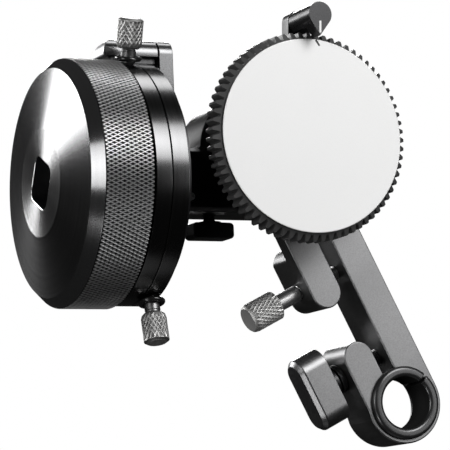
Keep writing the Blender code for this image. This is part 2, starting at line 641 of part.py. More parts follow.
def build_cover(frame, mats):
    outline = rounded_box(-COVER_HALF_WIDTH, COVER_HALF_WIDTH, -COVER_BOTTOM, COVER_TOP, COVER_CORNER)
    cover = make_object("rear_cover", prism(outline, BODY_BACK - COVER_DEPTH, BODY_BACK, "Y"),
                        frame, mats["black_alu"])
    boolean(cover, make_cutter("drive_journal", rod(
        CORE_RADIUS + RUN_GAP, BODY_BACK - COVER_DEPTH - OVERRUN,
        CAVITY_BACK + CORE_END_LENGTH + SEAT_GAP), frame, rotation=ALONG_Y))
    for i, (x, z) in enumerate(cover_screw_places(), 1):
        boolean(cover, make_cutter("cover_hole_%d" % i, rod(
            COVER_SCREW_RADIUS + SEAT_GAP, BODY_BACK - COVER_DEPTH - OVERRUN,
            BODY_BACK + OVERRUN, SCREW_SIDES), frame, (x, 0, z), ALONG_Y))
        screw = rod(COVER_SCREW_RADIUS, BODY_BACK - COVER_SCREW_LENGTH, BODY_BACK, SCREW_SIDES)
        make_object("cover_screw_%d" % i, screw, frame, mats["steel"], (x, 0, z), ALONG_Y)


def build_set_screw(frame, mats):
    screw = rod(SET_SCREW_RADIUS, -BODY_FRONT, SET_SCREW_LENGTH - BODY_FRONT, SCREW_SIDES)
    make_object("set_screw", screw, frame, mats["steel"],
                (-SET_SCREW_X, 0, -SET_SCREW_DROP), ALONG_Y)


def build_neck(frame, mats):
    back = NECK_SEAT - BODY_FRONT
    tip = -NECK_FRONT - SPIGOT_LENGTH
    profile = [(NECK_BORE_RADIUS, tip), (SPIGOT_RADIUS, tip), (SPIGOT_RADIUS, -NECK_FRONT),
               (NECK_RADIUS, -NECK_FRONT), (NECK_RADIUS, back), (NECK_BORE_RADIUS, back)]
    make_object("neck_sleeve", turned(profile, LARGE_SIDES), frame, mats["black_alu"], rotation=ALONG_Y)
    front = tube(DRIVE_RADIUS + RUN_GAP, DRIVE_BUSH_RADIUS, tip, tip + DRIVE_BUSH_LENGTH)
    make_object("drive_bush_front", front, frame, mats["bronze"], rotation=ALONG_Y)
    rear = tube(DRIVE_RADIUS + RUN_GAP, DRIVE_BUSH_RADIUS, back - DRIVE_BUSH_LENGTH, back)
    make_object("drive_bush_rear", rear, frame, mats["bronze"], rotation=ALONG_Y)
    left = -BAR_END
    bush = tube(WHEEL_SHAFT_RADIUS + RUN_GAP, WHEEL_BUSH_RADIUS, left, -CAVITY_HALF_WIDTH - SEAT_GAP)
    make_object("wheel_bush", bush, frame, mats["bronze"], (0, WHEEL_BACK, -WHEEL_DROP), ALONG_X)


def build_pointer(frame, mats):
    axis = make_empty("pointer_axis", frame, (0, 0, 0), (0, POINTER_TILT, 0))
    # plate: a ring round the neck's spigot with a stem up behind the gear
    edge = asin(POINTER_HALF_WIDTH / POINTER_PLATE_RING)
    outline = arc((0, 0), POINTER_PLATE_RING, pi / 2 + edge, 5 * pi / 2 - edge, ROUND_SIDES - CORNER_STEPS)
    outline += arc((POINTER_HALF_WIDTH - POINTER_TOP_ROUND, POINTER_TOP - POINTER_TOP_ROUND),
                   POINTER_TOP_ROUND, 0, pi / 2, CORNER_STEPS)
    outline += arc((POINTER_TOP_ROUND - POINTER_HALF_WIDTH, POINTER_TOP - POINTER_TOP_ROUND),
                   POINTER_TOP_ROUND, pi / 2, pi, CORNER_STEPS)
    back = -NECK_FRONT - SEAT_GAP
    front = back - POINTER_PLATE_DEPTH
    plate = make_object("pointer_plate", prism(outline, front, back, "Y"), axis, mats["black_alu"])
    boolean(plate, make_cutter("spigot_hole", rod(
        SPIGOT_RADIUS + SEAT_GAP, front - OVERRUN, back + OVERRUN, ROUND_SIDES), axis, rotation=ALONG_Y))
    # pointer: a teardrop whose tip hangs in front of the white disc
    centre = POINTER_TOP - POINTER_HALF_WIDTH
    lean = asin(POINTER_HALF_WIDTH / (centre - POINTER_TIP))
    drop = arc((0, centre), POINTER_HALF_WIDTH, -lean, pi + lean, SMALL_SIDES)
    drop.append((0, POINTER_TIP))
    shape = make_object("gear_pointer", prism(drop, -POINTER_FRONT, front - SEAT_GAP, "Y"), axis,
                        mats["black_alu"])
    under = GEAR_TIP + POINTER_CLEAR
    half = POINTER_HALF_WIDTH + OVERRUN
    disc_front = GEAR_FRONT + SEAT_GAP + DISC_DEPTH
    notch = prism(box_outline(-half, half, POINTER_TIP - OVERRUN, under),
                  -disc_front - SEAT_GAP, front + OVERRUN, "Y")
    boolean(shape, make_cutter("pointer_notch", notch, axis))


# ---- lens gear ------------------------------------------------------------------------
def tooth_ring(teeth, root, tip, root_share, tip_share, phase):
    """One turn of flat-topped teeth as (x, z) points, four for each tooth."""
    points = []
    step = 2 * pi / teeth
    for i in range(teeth):
        middle = phase + i * step
        for radius, share in ((root, -root_share), (tip, -tip_share),
                              (tip, tip_share), (root, root_share)):
            angle = middle + share * step
            points.append((radius * cos(angle), radius * sin(angle)))
    return points


def build_gear(frame, mats):
    """The ends of the teeth are turned down to their feet on both faces."""
    full = tooth_ring(GEAR_TEETH, GEAR_ROOT, GEAR_TIP, TOOTH_ROOT_SHARE, TOOTH_TIP_SHARE, TOOTH_PHASE)
    foot = GEAR_ROOT - SEAT_GAP
    ends = tooth_ring(GEAR_TEETH, foot, foot, TOOTH_ROOT_SHARE, TOOTH_TIP_SHARE, TOOTH_PHASE)
    bm = loft([place(ends, -GEAR_FRONT, "Y"), place(full, GEAR_CHAMFER - GEAR_FRONT, "Y"),
               place(full, -GEAR_BACK - GEAR_CHAMFER, "Y"), place(ends, -GEAR_BACK, "Y")])
    gear = make_object("lens_gear", bm, frame, mats["black_gear"])
    boolean(gear, make_cutter("gear_bore", rod(
        DRIVE_RADIUS + SEAT_GAP, -GEAR_FRONT - OVERRUN, OVERRUN - GEAR_BACK), frame, rotation=ALONG_Y))
    boolean(gear, make_cutter("gear_pocket", rod(
        SHAFT_FLANGE_RADIUS + SEAT_GAP, -GEAR_FRONT - OVERRUN,
        SHAFT_FLANGE_DEPTH + SEAT_GAP - GEAR_FRONT, ROUND_SIDES), frame, rotation=ALONG_Y))
    disc = rod(DISC_RADIUS, -GEAR_FRONT - SEAT_GAP - DISC_DEPTH, -GEAR_FRONT - SEAT_GAP, LARGE_SIDES)
    make_object("marking_disc", disc, frame, mats["white_disc"], rotation=ALONG_Y)


def build_drive_shaft(frame, mats):
    front = -GEAR_FRONT
    step = NECK_SEAT - BODY_FRONT
    end = CAVITY_BACK + CORE_END_LENGTH
    profile = [(0, front), (SHAFT_FLANGE_RADIUS, front),
               (SHAFT_FLANGE_RADIUS, front + SHAFT_FLANGE_DEPTH),
               (DRIVE_RADIUS, front + SHAFT_FLANGE_DEPTH),
               (DRIVE_RADIUS, step), (CORE_RADIUS, step), (CORE_RADIUS, end), (0, end)]
    make_object("drive_shaft", turned(profile, ROUND_SIDES), frame, mats["steel"], rotation=ALONG_Y)


def helical_gear(phase):
    """A 45 degree helical gear along Z, bored for a shaft's core."""
    root = HELICAL_PITCH - HELICAL_DEDENDUM
    tip = HELICAL_PITCH + HELICAL_ADDENDUM
    rings = []
    for i in range(HELICAL_SLICES + 1):
        height = HELICAL_WIDTH * (i / HELICAL_SLICES - 0.5)
        turn = phase + height / HELICAL_PITCH
        outline = tooth_ring(HELICAL_TEETH, root, tip, HELICAL_ROOT_SHARE, HELICAL_TIP_SHARE, turn)
        rings.append(place(outline, height, "Z"))
    return loft(rings)


def build_helicals(frame, wheel, mats):
    """The two gears mesh where their pitch circles touch, tooth in gap."""
    bore = CORE_RADIUS + SEAT_GAP
    far = HELICAL_WIDTH / 2 + OVERRUN
    # turned about Z first, then stood along its shaft
    driven = make_object("drive_helical", helical_gear(pi / 2), frame, mats["bronze"],
                         (0, WHEEL_BACK, 0), ALONG_Y)
    boolean(driven, make_cutter("drive_helical_bore", rod(bore, -far, far), frame,
                                (0, WHEEL_BACK, 0), ALONG_Y))
    half_tooth = pi / HELICAL_TEETH
    driver = make_object("wheel_helical", helical_gear(pi + half_tooth), wheel, mats["steel"],
                         (0, 0, 0), ALONG_X)
    boolean(driver, make_cutter("wheel_helical_bore", rod(bore, -far, far), wheel, (0, 0, 0), ALONG_X))


# ---- handwheel --------------------------------------------------------------------------
def build_handwheel(wheel, mats):
    bore = WHEEL_SHAFT_RADIUS + SEAT_GAP
    profile = [(0, -WHEEL_FACE), (WHEEL_FACE_RADIUS, -WHEEL_FACE), (CONE_RADIUS, -CONE_EDGE),
               (GRIP_RADIUS, -GRIP_START), (GRIP_RADIUS, -GRIP_END), (SLEEVE_RADIUS, -GRIP_END),
               (SLEEVE_RADIUS, -SLEEVE_END), (POCKET_RADIUS, -SLEEVE_END),
               (POCKET_RADIUS, -POCKET_START), (HUB_RADIUS, -POCKET_START),
               (HUB_RADIUS, -SLEEVE_END), (0, -SLEEVE_END)]
    body = make_object("handwheel", turned(profile, LARGE_SIDES), wheel, mats["grey_alu"], rotation=ALONG_X)
    boolean(body, make_cutter("wheel_bore", rod(
        bore, -WHEEL_FACE - OVERRUN, OVERRUN - SLEEVE_END), wheel, rotation=ALONG_X))
    half = SOCKET_WIDTH / 2
    square = prism(rounded_box(-half, half, -half, half, SOCKET_CORNER),
                   -WHEEL_FACE - OVERRUN, SOCKET_DEPTH - WHEEL_FACE, "X")
    boolean(body, make_cutter("socket", square, wheel, rotation=(SOCKET_TURN, 0, 0)))
    plate = tube(bore, BACK_PLATE_RADIUS, SEAT_GAP - SLEEVE_END,
                 SEAT_GAP - SLEEVE_END + BACK_PLATE_DEPTH, LARGE_SIDES)
    make_object("wheel_back_plate", plate, wheel, mats["black_alu"], rotation=ALONG_X)


def build_wheel_shaft(wheel, mats):
    floor = SOCKET_DEPTH - WHEEL_FACE
    end = CAVITY_HALF_WIDTH + CORE_END_LENGTH
    step = -CAVITY_HALF_WIDTH
    profile = [(0, floor), (WHEEL_SHAFT_RADIUS, floor), (WHEEL_SHAFT_RADIUS, step),
               (CORE_RADIUS, step), (CORE_RADIUS, end), (0, end)]
    make_object("wheel_shaft", turned(profile, ROUND_SIDES), wheel, mats["steel"], rotation=ALONG_X)
    nut = make_object("wheel_nut", rod(WHEEL_NUT_RADIUS, floor - SEAT_GAP - WHEEL_NUT_DEPTH,
                                       floor - SEAT_GAP), wheel, mats["black_alu"], rotation=ALONG_X)
    low = floor - SEAT_GAP - WHEEL_NUT_DEPTH
    boolean(nut, make_cutter("nut_hex", rod(
        WHEEL_NUT_HEX, low - OVERRUN, low + WHEEL_NUT_HEX_DEPTH, 6), wheel, rotation=ALONG_X))


# ---- stop rings -----------------------------------------------------------------------------
def build_stop_ring(index, wheel, mats, left, right, screw_x, angle, o_ring_height):
    ring_axis = make_empty("stop_ring_axis_%d" % index, wheel)
    ring = tube(SLEEVE_RADIUS + RUN_GAP, RING_RADIUS, -left, -right, LARGE_SIDES)
    ring = make_object("stop_ring_%d" % index, ring, ring_axis, mats["black_alu"], rotation=ALONG_X)
    # the screw's own frame: Z points out of the wheel along the screw
    screw_axis = make_empty("stop_screw_axis_%d" % index, ring_axis, (-screw_x, 0, 0), (angle, 0, 0))
    foot = SLEEVE_RADIUS + RUN_GAP + SEAT_GAP
    boolean(ring, make_cutter("stop_thread_%d" % index, rod(
        STOP_STUD_RADIUS + SEAT_GAP, SLEEVE_RADIUS - OVERRUN, RING_RADIUS + OVERRUN, SCREW_SIDES), screw_axis))
    seat = RING_RADIUS + SEAT_GAP
    profile = [(0, foot), (STOP_STUD_RADIUS, foot), (STOP_STUD_RADIUS, seat),
               (STOP_NECK_RADIUS, seat), (STOP_NECK_RADIUS, STOP_KNOB_START - SEAT_GAP),
               (0, STOP_KNOB_START - SEAT_GAP)]
    make_object("stop_stud_%d" % index, turned(profile, SCREW_SIDES), screw_axis, mats["steel"])
    knob = rod(STOP_KNOB_RADIUS, STOP_KNOB_START, STOP_KNOB_END, SMALL_SIDES,
               STOP_KNOB_CHAMFER, STOP_KNOB_CHAMFER)
    make_object("stop_knob_%d" % index, knob, screw_axis, mats["silver"])
    section = arc((O_RING_RADIUS, o_ring_height), O_RING_SECTION, 0, 2 * pi, O_RING_STEPS)[:-1]
    make_object("o_ring_%d" % index, turned(section, SMALL_SIDES), screw_axis, mats["rubber"])


def build_stop_rings(wheel, mats):
    build_stop_ring(1, wheel, mats, GRIP_END - SEAT_GAP, RING_SPLIT + RUN_GAP,
                    STOP_SCREW_X_1, STOP_ANGLE_1, O_RING_HEIGHT_1)
    build_stop_ring(2, wheel, mats, RING_SPLIT - RUN_GAP, SLEEVE_END,
                    STOP_SCREW_X_2, STOP_ANGLE_2, O_RING_HEIGHT_2)


# ---- stop plate and block ---------------------------------------------------------------------
def build_stop_plate(frame, mats):
    """A foot the size of the bar's end and a stem up behind the rings."""
    crown = STOP_TOP - STOP_HALF_WIDTH
    outline = [(-BODY_FRONT, -BODY_BOTTOM), (BODY_BACK, -BODY_BOTTOM), (BODY_BACK, BAR_TOP),
               (WHEEL_BACK + STOP_HALF_WIDTH, BAR_TOP)]
    outline += arc((WHEEL_BACK, crown), STOP_HALF_WIDTH, 0, pi, SMALL_SIDES // 2)
    outline += [(WHEEL_BACK - STOP_HALF_WIDTH, BAR_TOP), (-BODY_FRONT, BAR_TOP)]
    plate = make_object("stop_plate", prism(outline, -PLATE_LEFT, -PLATE_RIGHT, "X"), frame,
                        mats["black_alu"])
    boolean(plate, make_cutter("plate_shaft_hole", rod(
        PLATE_HOLE_RADIUS, -PLATE_LEFT - OVERRUN, OVERRUN - PLATE_RIGHT, ROUND_SIDES), frame,
        (0, WHEEL_BACK, -WHEEL_DROP), ALONG_X))
    for i, side in enumerate((-1, 1), 1):
        spot = (0, WHEEL_BACK + side * PLATE_SCREW_SPREAD, -PLATE_SCREW_DROP)
        under = PLATE_SCREW_HEAD_DEPTH - PLATE_LEFT
        far = PLATE_SCREW_LENGTH - PLATE_LEFT
        seat = PLATE_SCREW_HEAD + SEAT_GAP
        hole = PLATE_SCREW_RADIUS + SEAT_GAP
        stepped = [(0, -PLATE_LEFT - OVERRUN), (seat, -PLATE_LEFT - OVERRUN), (seat, under + SEAT_GAP),
                   (hole, under + SEAT_GAP), (hole, OVERRUN - PLATE_RIGHT), (0, OVERRUN - PLATE_RIGHT)]
        boolean(plate, make_cutter("plate_screw_seat_%d" % i, turned(stepped, SCREW_SIDES),
                                   frame, spot, ALONG_X))
        profile = [(0, -PLATE_LEFT), (PLATE_SCREW_HEAD, -PLATE_LEFT), (PLATE_SCREW_HEAD, under),
                   (PLATE_SCREW_RADIUS, under), (PLATE_SCREW_RADIUS, far), (0, far)]
        make_object("plate_screw_%d" % i, turned(profile, SCREW_SIDES), frame, mats["steel"], spot, ALONG_X)


def build_stop_block(frame, mats):
    """A round-topped block that reaches over both rings as far as the grip."""
    crown = STOP_TOP - STOP_HALF_WIDTH
    section = [(WHEEL_BACK - STOP_HALF_WIDTH, STOP_BLOCK_BOTTOM), (WHEEL_BACK + STOP_HALF_WIDTH, STOP_BLOCK_BOTTOM)]
    section += arc((WHEEL_BACK, crown), STOP_HALF_WIDTH, 0, pi, SMALL_SIDES // 2)
    seam = -PLATE_LEFT - SEAT_GAP
    block = make_object("stop_block", prism(section, -STOP_BLOCK_FRONT, seam, "X"), frame, mats["black_alu"])
    nose_x = STOP_BLOCK_NOSE - STOP_BLOCK_FRONT
    nose_z = STOP_TOP - STOP_BLOCK_NOSE
    side = [(seam + OVERRUN, STOP_BLOCK_BOTTOM - OVERRUN), (seam + OVERRUN, STOP_TOP)]
    side += arc((nose_x, nose_z), STOP_BLOCK_NOSE, pi / 2, pi, CORNER_STEPS * 2)
    side.append((-STOP_BLOCK_FRONT, STOP_BLOCK_BOTTOM - OVERRUN))
    wide = STOP_HALF_WIDTH + OVERRUN
    keep = prism(side, WHEEL_BACK - wide, WHEEL_BACK + wide, "Y")
    boolean(block, make_cutter("block_nose", keep, frame), "INTERSECT")


# ---- locking knob -------------------------------------------------------------------------------
def build_t_knob(frame, mats):
    axis = make_empty("t_knob_axis", frame, (-T_KNOB_X, WHEEL_BACK, 0))
    outline = rounded_box(-T_KNOB_HALF_LENGTH, T_KNOB_HALF_LENGTH, -T_KNOB_BOTTOM, -T_KNOB_TOP, T_KNOB_ROUND)
    half = T_KNOB_THICKNESS / 2
    knob = make_object("t_knob", prism(outline, -half, half, "Y"), axis, mats["black_alu"])
    boss = rod(T_BOSS_RADIUS, -(T_KNOB_TOP + T_KNOB_BOTTOM) / 2, T_BOSS_HEIGHT - T_KNOB_TOP)
    boolean(knob, make_cutter("t_boss", boss, axis), "UNION")
    stud = rod(T_STUD_RADIUS, T_BOSS_HEIGHT + SEAT_GAP - T_KNOB_TOP,
               -WHEEL_DROP - WHEEL_BUSH_RADIUS - SEAT_GAP, SCREW_SIDES)
    make_object("t_stud", stud, axis, mats["steel"])


def main():
    clear_scene()
    mats = make_materials()
    arm_frame = make_empty("arm_frame", None, (0, 0, 0), (0, -ARM_TILT, 0))
    gearbox = make_empty("gearbox_frame", None, (GEAR_X, 0, GEAR_Z))
    wheel = make_empty("wheel_frame", gearbox, (0, WHEEL_BACK, -WHEEL_DROP))
    drive = make_empty("drive_frame", gearbox)
    build_arm(arm_frame, mats)
    build_rod_bushing(arm_frame, mats)
    build_wing_knob(arm_frame, mats)
    build_clamp_screw(arm_frame, mats)
    build_housing(gearbox, mats)
    build_cover(gearbox, mats)
    build_set_screw(gearbox, mats)
    build_neck(gearbox, mats)
    build_pointer(gearbox, mats)
    build_stop_plate(gearbox, mats)
    build_stop_block(gearbox, mats)
    build_t_knob(gearbox, mats)
    build_gear(drive, mats)
    build_drive_shaft(drive, mats)
    build_helicals(drive, wheel, mats)
    build_handwheel(wheel, mats)
    build_wheel_shaft(wheel, mats)
    build_stop_rings(wheel, mats)
    bpy.context.view_layer.update()


main()
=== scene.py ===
"""Looks of a lens follow focus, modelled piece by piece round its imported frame.

Laid out as a Blender add-on: one operator for each piece or group of like
pieces, one for the studio, and a sidebar panel that lists them in order.
World frame: origin in the rod bore, X right, Y front to back, Z up, metres.
"""
import json
from math import asin, atan2, cos, pi, radians, sin, sqrt

import bmesh
import bpy
from bpy.props import FloatProperty, FloatVectorProperty, IntProperty, PointerProperty
from mathutils import Matrix, Vector

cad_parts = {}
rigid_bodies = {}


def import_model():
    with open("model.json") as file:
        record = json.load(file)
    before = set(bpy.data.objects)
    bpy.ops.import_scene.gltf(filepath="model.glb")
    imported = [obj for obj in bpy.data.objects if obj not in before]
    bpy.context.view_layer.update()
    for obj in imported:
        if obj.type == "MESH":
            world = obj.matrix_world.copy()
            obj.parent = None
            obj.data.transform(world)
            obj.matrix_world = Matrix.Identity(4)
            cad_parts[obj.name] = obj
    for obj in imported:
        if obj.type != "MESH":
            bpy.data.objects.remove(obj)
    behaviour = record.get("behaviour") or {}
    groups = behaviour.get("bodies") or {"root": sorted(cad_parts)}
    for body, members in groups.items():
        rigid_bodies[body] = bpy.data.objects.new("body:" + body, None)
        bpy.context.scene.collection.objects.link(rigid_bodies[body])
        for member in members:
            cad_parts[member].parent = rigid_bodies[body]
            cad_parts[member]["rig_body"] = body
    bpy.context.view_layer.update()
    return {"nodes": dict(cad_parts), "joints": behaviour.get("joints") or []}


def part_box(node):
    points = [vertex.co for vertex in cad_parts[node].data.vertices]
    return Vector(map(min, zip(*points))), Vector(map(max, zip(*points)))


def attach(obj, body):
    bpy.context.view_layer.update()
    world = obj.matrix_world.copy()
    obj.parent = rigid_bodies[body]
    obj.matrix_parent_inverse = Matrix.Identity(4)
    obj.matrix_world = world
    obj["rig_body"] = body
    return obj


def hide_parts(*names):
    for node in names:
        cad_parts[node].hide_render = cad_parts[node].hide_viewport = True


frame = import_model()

bl_info = {
    "name": "Lens follow focus",
    "version": (1, 0, 0),
    "blender": (4, 5, 0),
    "location": "View3D > Sidebar > Follow Focus",
    "description": "Models a lens follow focus round its packed frame",
    "category": "Object",
}

JOINTS = {joint["name"]: joint for joint in frame["joints"]}
GEAR_AXIS = Vector(JOINTS["drive_spin"]["pos_m"])
WHEEL_AXIS = Vector(JOINTS["wheel_spin"]["pos_m"])
ARM_LENGTH = sqrt(GEAR_AXIS.x ** 2 + GEAR_AXIS.z ** 2)
ARM_TILT = asin(-GEAR_AXIS.x / ARM_LENGTH)

ARM_PLACE = Matrix.Rotation(-ARM_TILT, 4, "Y")
GEARBOX_PLACE = Matrix.Translation(GEAR_AXIS)
WHEEL_PLACE = Matrix.Translation(WHEEL_AXIS)
ALONG_X = Matrix.Rotation(pi / 2, 4, "Y")
ALONG_Y = Matrix.Rotation(-pi / 2, 4, "X")
ROD_LINE = ARM_PLACE @ ALONG_Y
GEAR_LINE = GEARBOX_PLACE @ ALONG_Y
WHEEL_LINE = WHEEL_PLACE @ ALONG_X

GAP = 0.0003            # between pieces that are fixed to each other
RUN = 0.0001            # round a shaft or ring that turns
OVER = 0.001            # how far a cutter runs past the face that it cuts
WELD = 0.0000008        # merge distance of coincident points
TURNS = 128             # sides of the large turned pieces
ROUNDS = 64             # of the middle-sized ones
SMALLS = 40             # of the small ones
TINY = 32               # of the smallest screws
KNOB_KNURL = 0.0003     # depth of the thumb screws' knurl
POINT = 0.0004          # length and taper of a stud's point
GRIP_BAND = 0.0006      # thickness of the grip's band below its knurl
SHAFT_HOLE = 0.0043     # radius of the hole round either shaft


# ---- sizes and colours that a user may change --------------------------------
def size(label, text, value):
    return FloatProperty(name=label, description=text, default=value, min=0.0,
                         unit="LENGTH", precision=5, step=0.01)


def share(label, text, value):
    return FloatProperty(name=label, description=text, default=value, min=0.0, max=1.0)


def colour(label, text, value):
    return FloatVectorProperty(name=label, description=text, default=value, size=3,
                               min=0.0, max=1.0, subtype="COLOR")


def turn(label, text, degrees):
    return FloatProperty(name=label, description=text, default=radians(degrees), unit="ROTATION")


def power(label, which, watts):
    return FloatProperty(name=label, description="Power of the %s softbox" % which, default=watts,
                         unit="POWER")


class FocusArmSizes(bpy.types.PropertyGroup):
    width: size("Width", "Across the arm and its round ends", 0.0238)
    depth: size("Depth", "Front face to back face", 0.0152)
    slot: size("Slot", "Width of the saw slots", 0.0040)
    jaw: size("Jaw width", "Across each left jaw", 0.0095)
    upper_jaw: size("Upper jaw", "Gear axis to the upper jaw's free end", 0.0481)
    lower_jaw: size("Lower jaw", "Rod bore to the lower jaw's free end", 0.0229)
    neck_plate: size("Neck plate", "Thickness of the arm round the neck", 0.0048)
    bar_relief: size("Bar relief", "Gear axis to the full-depth part of the bar", 0.0289)
    jaw_relief: size("Jaw relief", "Gear axis to the full-depth part of the jaw", 0.0282)
    edge: size("Edge", "Rounding of the outer edges", 0.00045)
    bush: size("Bushing radius", "Outer radius of the rod bushing", 0.0095)
    rod: size("Rod radius", "Radius of the support rod", 0.0075)
    flange: size("Flange radius", "Radius of the bushing's flange", 0.01075)
    flange_depth: size("Flange depth", "Thickness of the bushing's flange", 0.0013)
    bush_length: size("Bushing length", "Length of the rod bushing", 0.0112)
    slit: size("Bushing slit", "Width of the bushing's slit", 0.0010)
    slit_turn: turn("Slit turn", "From across the arm towards up the arm", 23.5)


class FocusScrewSizes(bpy.types.PropertyGroup):
    wing_height: size("Wing height", "Rod bore to the wing knob's axis", 0.0147)
    wing_half: size("Wing half length", "Half the length of the wing knob", 0.01125)
    wing_thick: size("Wing thickness", "Thickness of the wing knob", 0.0098)
    wing_outer: size("Wing outer face", "Arm centre line to the outer face", 0.0245)
    wing_inner: size("Wing inner face", "Arm centre line to the inner face", 0.0152)
    wing_chamfer: size("Wing chamfer", "Chamfer of the outer face", 0.0013)
    wing_stud: size("Wing stud radius", "Radius of the rod clamp's stud", 0.0025)
    clamp_drop: size("Clamp screw drop", "Gear axis to the thumb screw", 0.0403)
    clamp_knob: size("Clamp knob radius", "Radius of the neck clamp's knob", 0.0044)
    clamp_outer: size("Clamp knob end", "Arm centre line to the end face", 0.0297)
    clamp_inner: size("Clamp knob start", "Arm centre line to the inner face", 0.0194)
    clamp_neck: size("Clamp neck radius", "Radius of the polished neck", 0.0025)
    clamp_stud: size("Clamp stud radius", "Radius of the threaded stud", 0.0020)
    reach: size("Stud reach", "Past the arm's centre line into the bar", 0.0080)


class FocusGearboxSizes(bpy.types.PropertyGroup):
    half: size("Half width", "Gear axis to the body's side", 0.0218)
    top: size("Top", "Gear axis to the body's top", 0.0157)
    bottom: size("Bottom", "Gear axis to the body's underside", 0.0180)
    shoulder: size("Shoulder", "Radius of the round shoulders", 0.0147)
    chamfer: size("Chamfer", "Chamfer round the front face", 0.0012)
    bar_end: size("Bar end", "Gear axis to the bar's left end", 0.0274)
    bar_top: size("Bar top", "Top of the square bar above the gear axis", 0.0004)
    cover_half: size("Cover half width", "Half the rear cover's width", 0.0160)
    cover_top: size("Cover top", "Top of the rear cover", 0.0090)
    cover_depth: size("Cover depth", "Thickness of the rear cover", 0.0027)
    neck: size("Neck radius", "Radius of the neck in the arm", 0.0092)
    neck_front: size("Neck front", "Arm's middle to the neck's shoulder", 0.0168)
    set_x: size("Set screw place", "Gear axis to the small front screw", 0.0256)
    set_drop: size("Set screw drop", "Gear axis down to the front screw", 0.0138)
    t_x: size("T-knob place", "Gear axis to the T-knob's stud", 0.0165)
    t_top: size("T-knob top", "Gear axis down to the T-knob", 0.0204)
    t_bottom: size("T-knob bottom", "Gear axis down to its lower face", 0.0251)
    t_half: size("T-knob half length", "Half the T-knob's length", 0.0064)
    t_round: size("T-knob rounding", "Radius of its corners", 0.0012)


class FocusGearSizes(bpy.types.PropertyGroup):
    teeth: IntProperty(name="Teeth", description="Teeth round the lens gear", default=73, min=12)
    module: size("Module", "Pitch diameter over teeth", 0.0008)
    back: size("Gear back", "Arm's middle to the gear's back face", 0.0218)
    width: size("Gear width", "Thickness of the gear", 0.0075)
    chamfer: size("Tooth ends", "Length of the turned-down tooth ends", 0.0014)
    disc: size("Disc radius", "Radius of the white marking disc", 0.0278)
    disc_depth: size("Disc depth", "Thickness of the marking disc", 0.0007)
    pointer_tilt: turn("Pointer tilt", "Lean of the pointer to the right", 2.6)
    pointer_half: size("Pointer half width", "Half the pointer's width", 0.0036)
    pointer_top: size("Pointer top", "Gear axis to the pointer's top", 0.0377)
    pointer_tip: size("Pointer tip", "Gear axis to the pointer's tip", 0.0278)
    pointer_front: size("Pointer front", "Arm's middle to the front face", 0.03535)
    line_top: size("Line top", "Gear axis to the white line's upper end", 0.0321)
    line: size("Line width", "Width of the white line", 0.0006)


class FocusWheelSizes(bpy.types.PropertyGroup):
    face: size("Face", "Gear axis to the wheel's flat centre", 0.0684)
    face_radius: size("Face radius", "Radius of the flat centre", 0.0155)
    cone_edge: size("Cone edge", "Gear axis to the cone's rim", 0.0658)
    cone_radius: size("Cone radius", "Radius of the cone's rim", 0.0328)
    grip_start: size("Grip start", "Gear axis to the grip's outer end", 0.0624)
    grip_end: size("Grip end", "Gear axis to the grip's inner end", 0.0481)
    grip: size("Grip radius", "Radius over the knurl", 0.0358)
    knurl: size("Knurl depth", "Depth of the grip's knurl", 0.00045)
    sleeve: size("Sleeve radius", "Radius under the stop rings", 0.0300)
    sleeve_end: size("Sleeve end", "Gear axis to the sleeve's end", 0.0372)
    socket: size("Socket", "Across the square socket", 0.0130)
    socket_corner: size("Socket corner", "Radius of the socket's corners", 0.0029)
    socket_depth: size("Socket depth", "Depth of the square socket", 0.0090)
    socket_turn: turn("Socket turn", "Turn of the square socket", 28)
    ring: size("Ring radius", "Radius of both stop rings", 0.0349)
    ring_gap: size("Ring gap", "Between the grip and the first ring", 0.0009)
    split: size("Ring split", "Gear axis to the joint of the rings", 0.0423)
    knob: size("Stop knob radius", "Radius of the stop screws' knobs", 0.0037)
    knob_start: size("Stop knob start", "Wheel axis to the knob", 0.0394)
    knob_end: size("Stop knob end", "Wheel axis to the knob's end", 0.0482)
    neck: size("Stop neck radius", "Radius of the stop screws' necks", 0.00225)
    o_ring: size("O-ring radius", "To the middle of its section", 0.0032)
    o_section: size("O-ring section", "Radius of its section", 0.00075)
    stop_top: size("Stop top", "Top of the stop block above the gear axis", 0.0327)
    stop_half: size("Stop half width", "Half the stop block's width", 0.00425)
    # the rib under the stop block fills the gap there so that it shows dark; it stands in for
    # shade
    stop_shade_rib: size("Stop rib half width", "Half the rib under the stop block", 0.0020)
    stop_under: size("Stop underside", "Underside of the stop block", 0.0274)
    stop_nose: size("Stop nose", "Gear axis to the block's nose", 0.0495)
    plate: size("Plate thickness", "Thickness of the stop plate", 0.0044)


class FocusFinishes(bpy.types.PropertyGroup):
    black: colour("Black anodising", "Gearbox, rings and bushing", (0.022, 0.022, 0.023))
    grey: colour("Grey anodising", "Arm and wing knob", (0.190, 0.190, 0.192))
    wheel: colour("Wheel", "Turned cone and grip of the handwheel", (0.160, 0.160, 0.162))
    grip: colour("Grip", "Crests of the grip's knurl", (0.620, 0.620, 0.623))
    flat: colour("Wheel centre", "Turned flat centre of the handwheel", (0.520, 0.520, 0.523))
    silver: colour("Silver", "Knurled thumb screws", (0.560, 0.557, 0.550))
    steel: colour("Steel", "Studs and screws", (0.400, 0.400, 0.400))
    gear: colour("Gear", "Black acetal of the lens gear", (0.060, 0.060, 0.060))
    white: colour("White", "Marking disc and the pointer's line", (0.860, 0.860, 0.856))
    rubber: colour("Rubber", "O-rings", (0.010, 0.010, 0.010))
    bronze: colour("Bronze", "Bushes and the driven helical gear", (0.480, 0.300, 0.150))
    grain: share("Grain", "Strength of the blasted grain", 0.35)
    # painted highlight: how much lighter the edges are painted, standing in for light caught by
    # the small bevels
    glint: share("Edge wear", "How much lighter the edges are", 0.30)


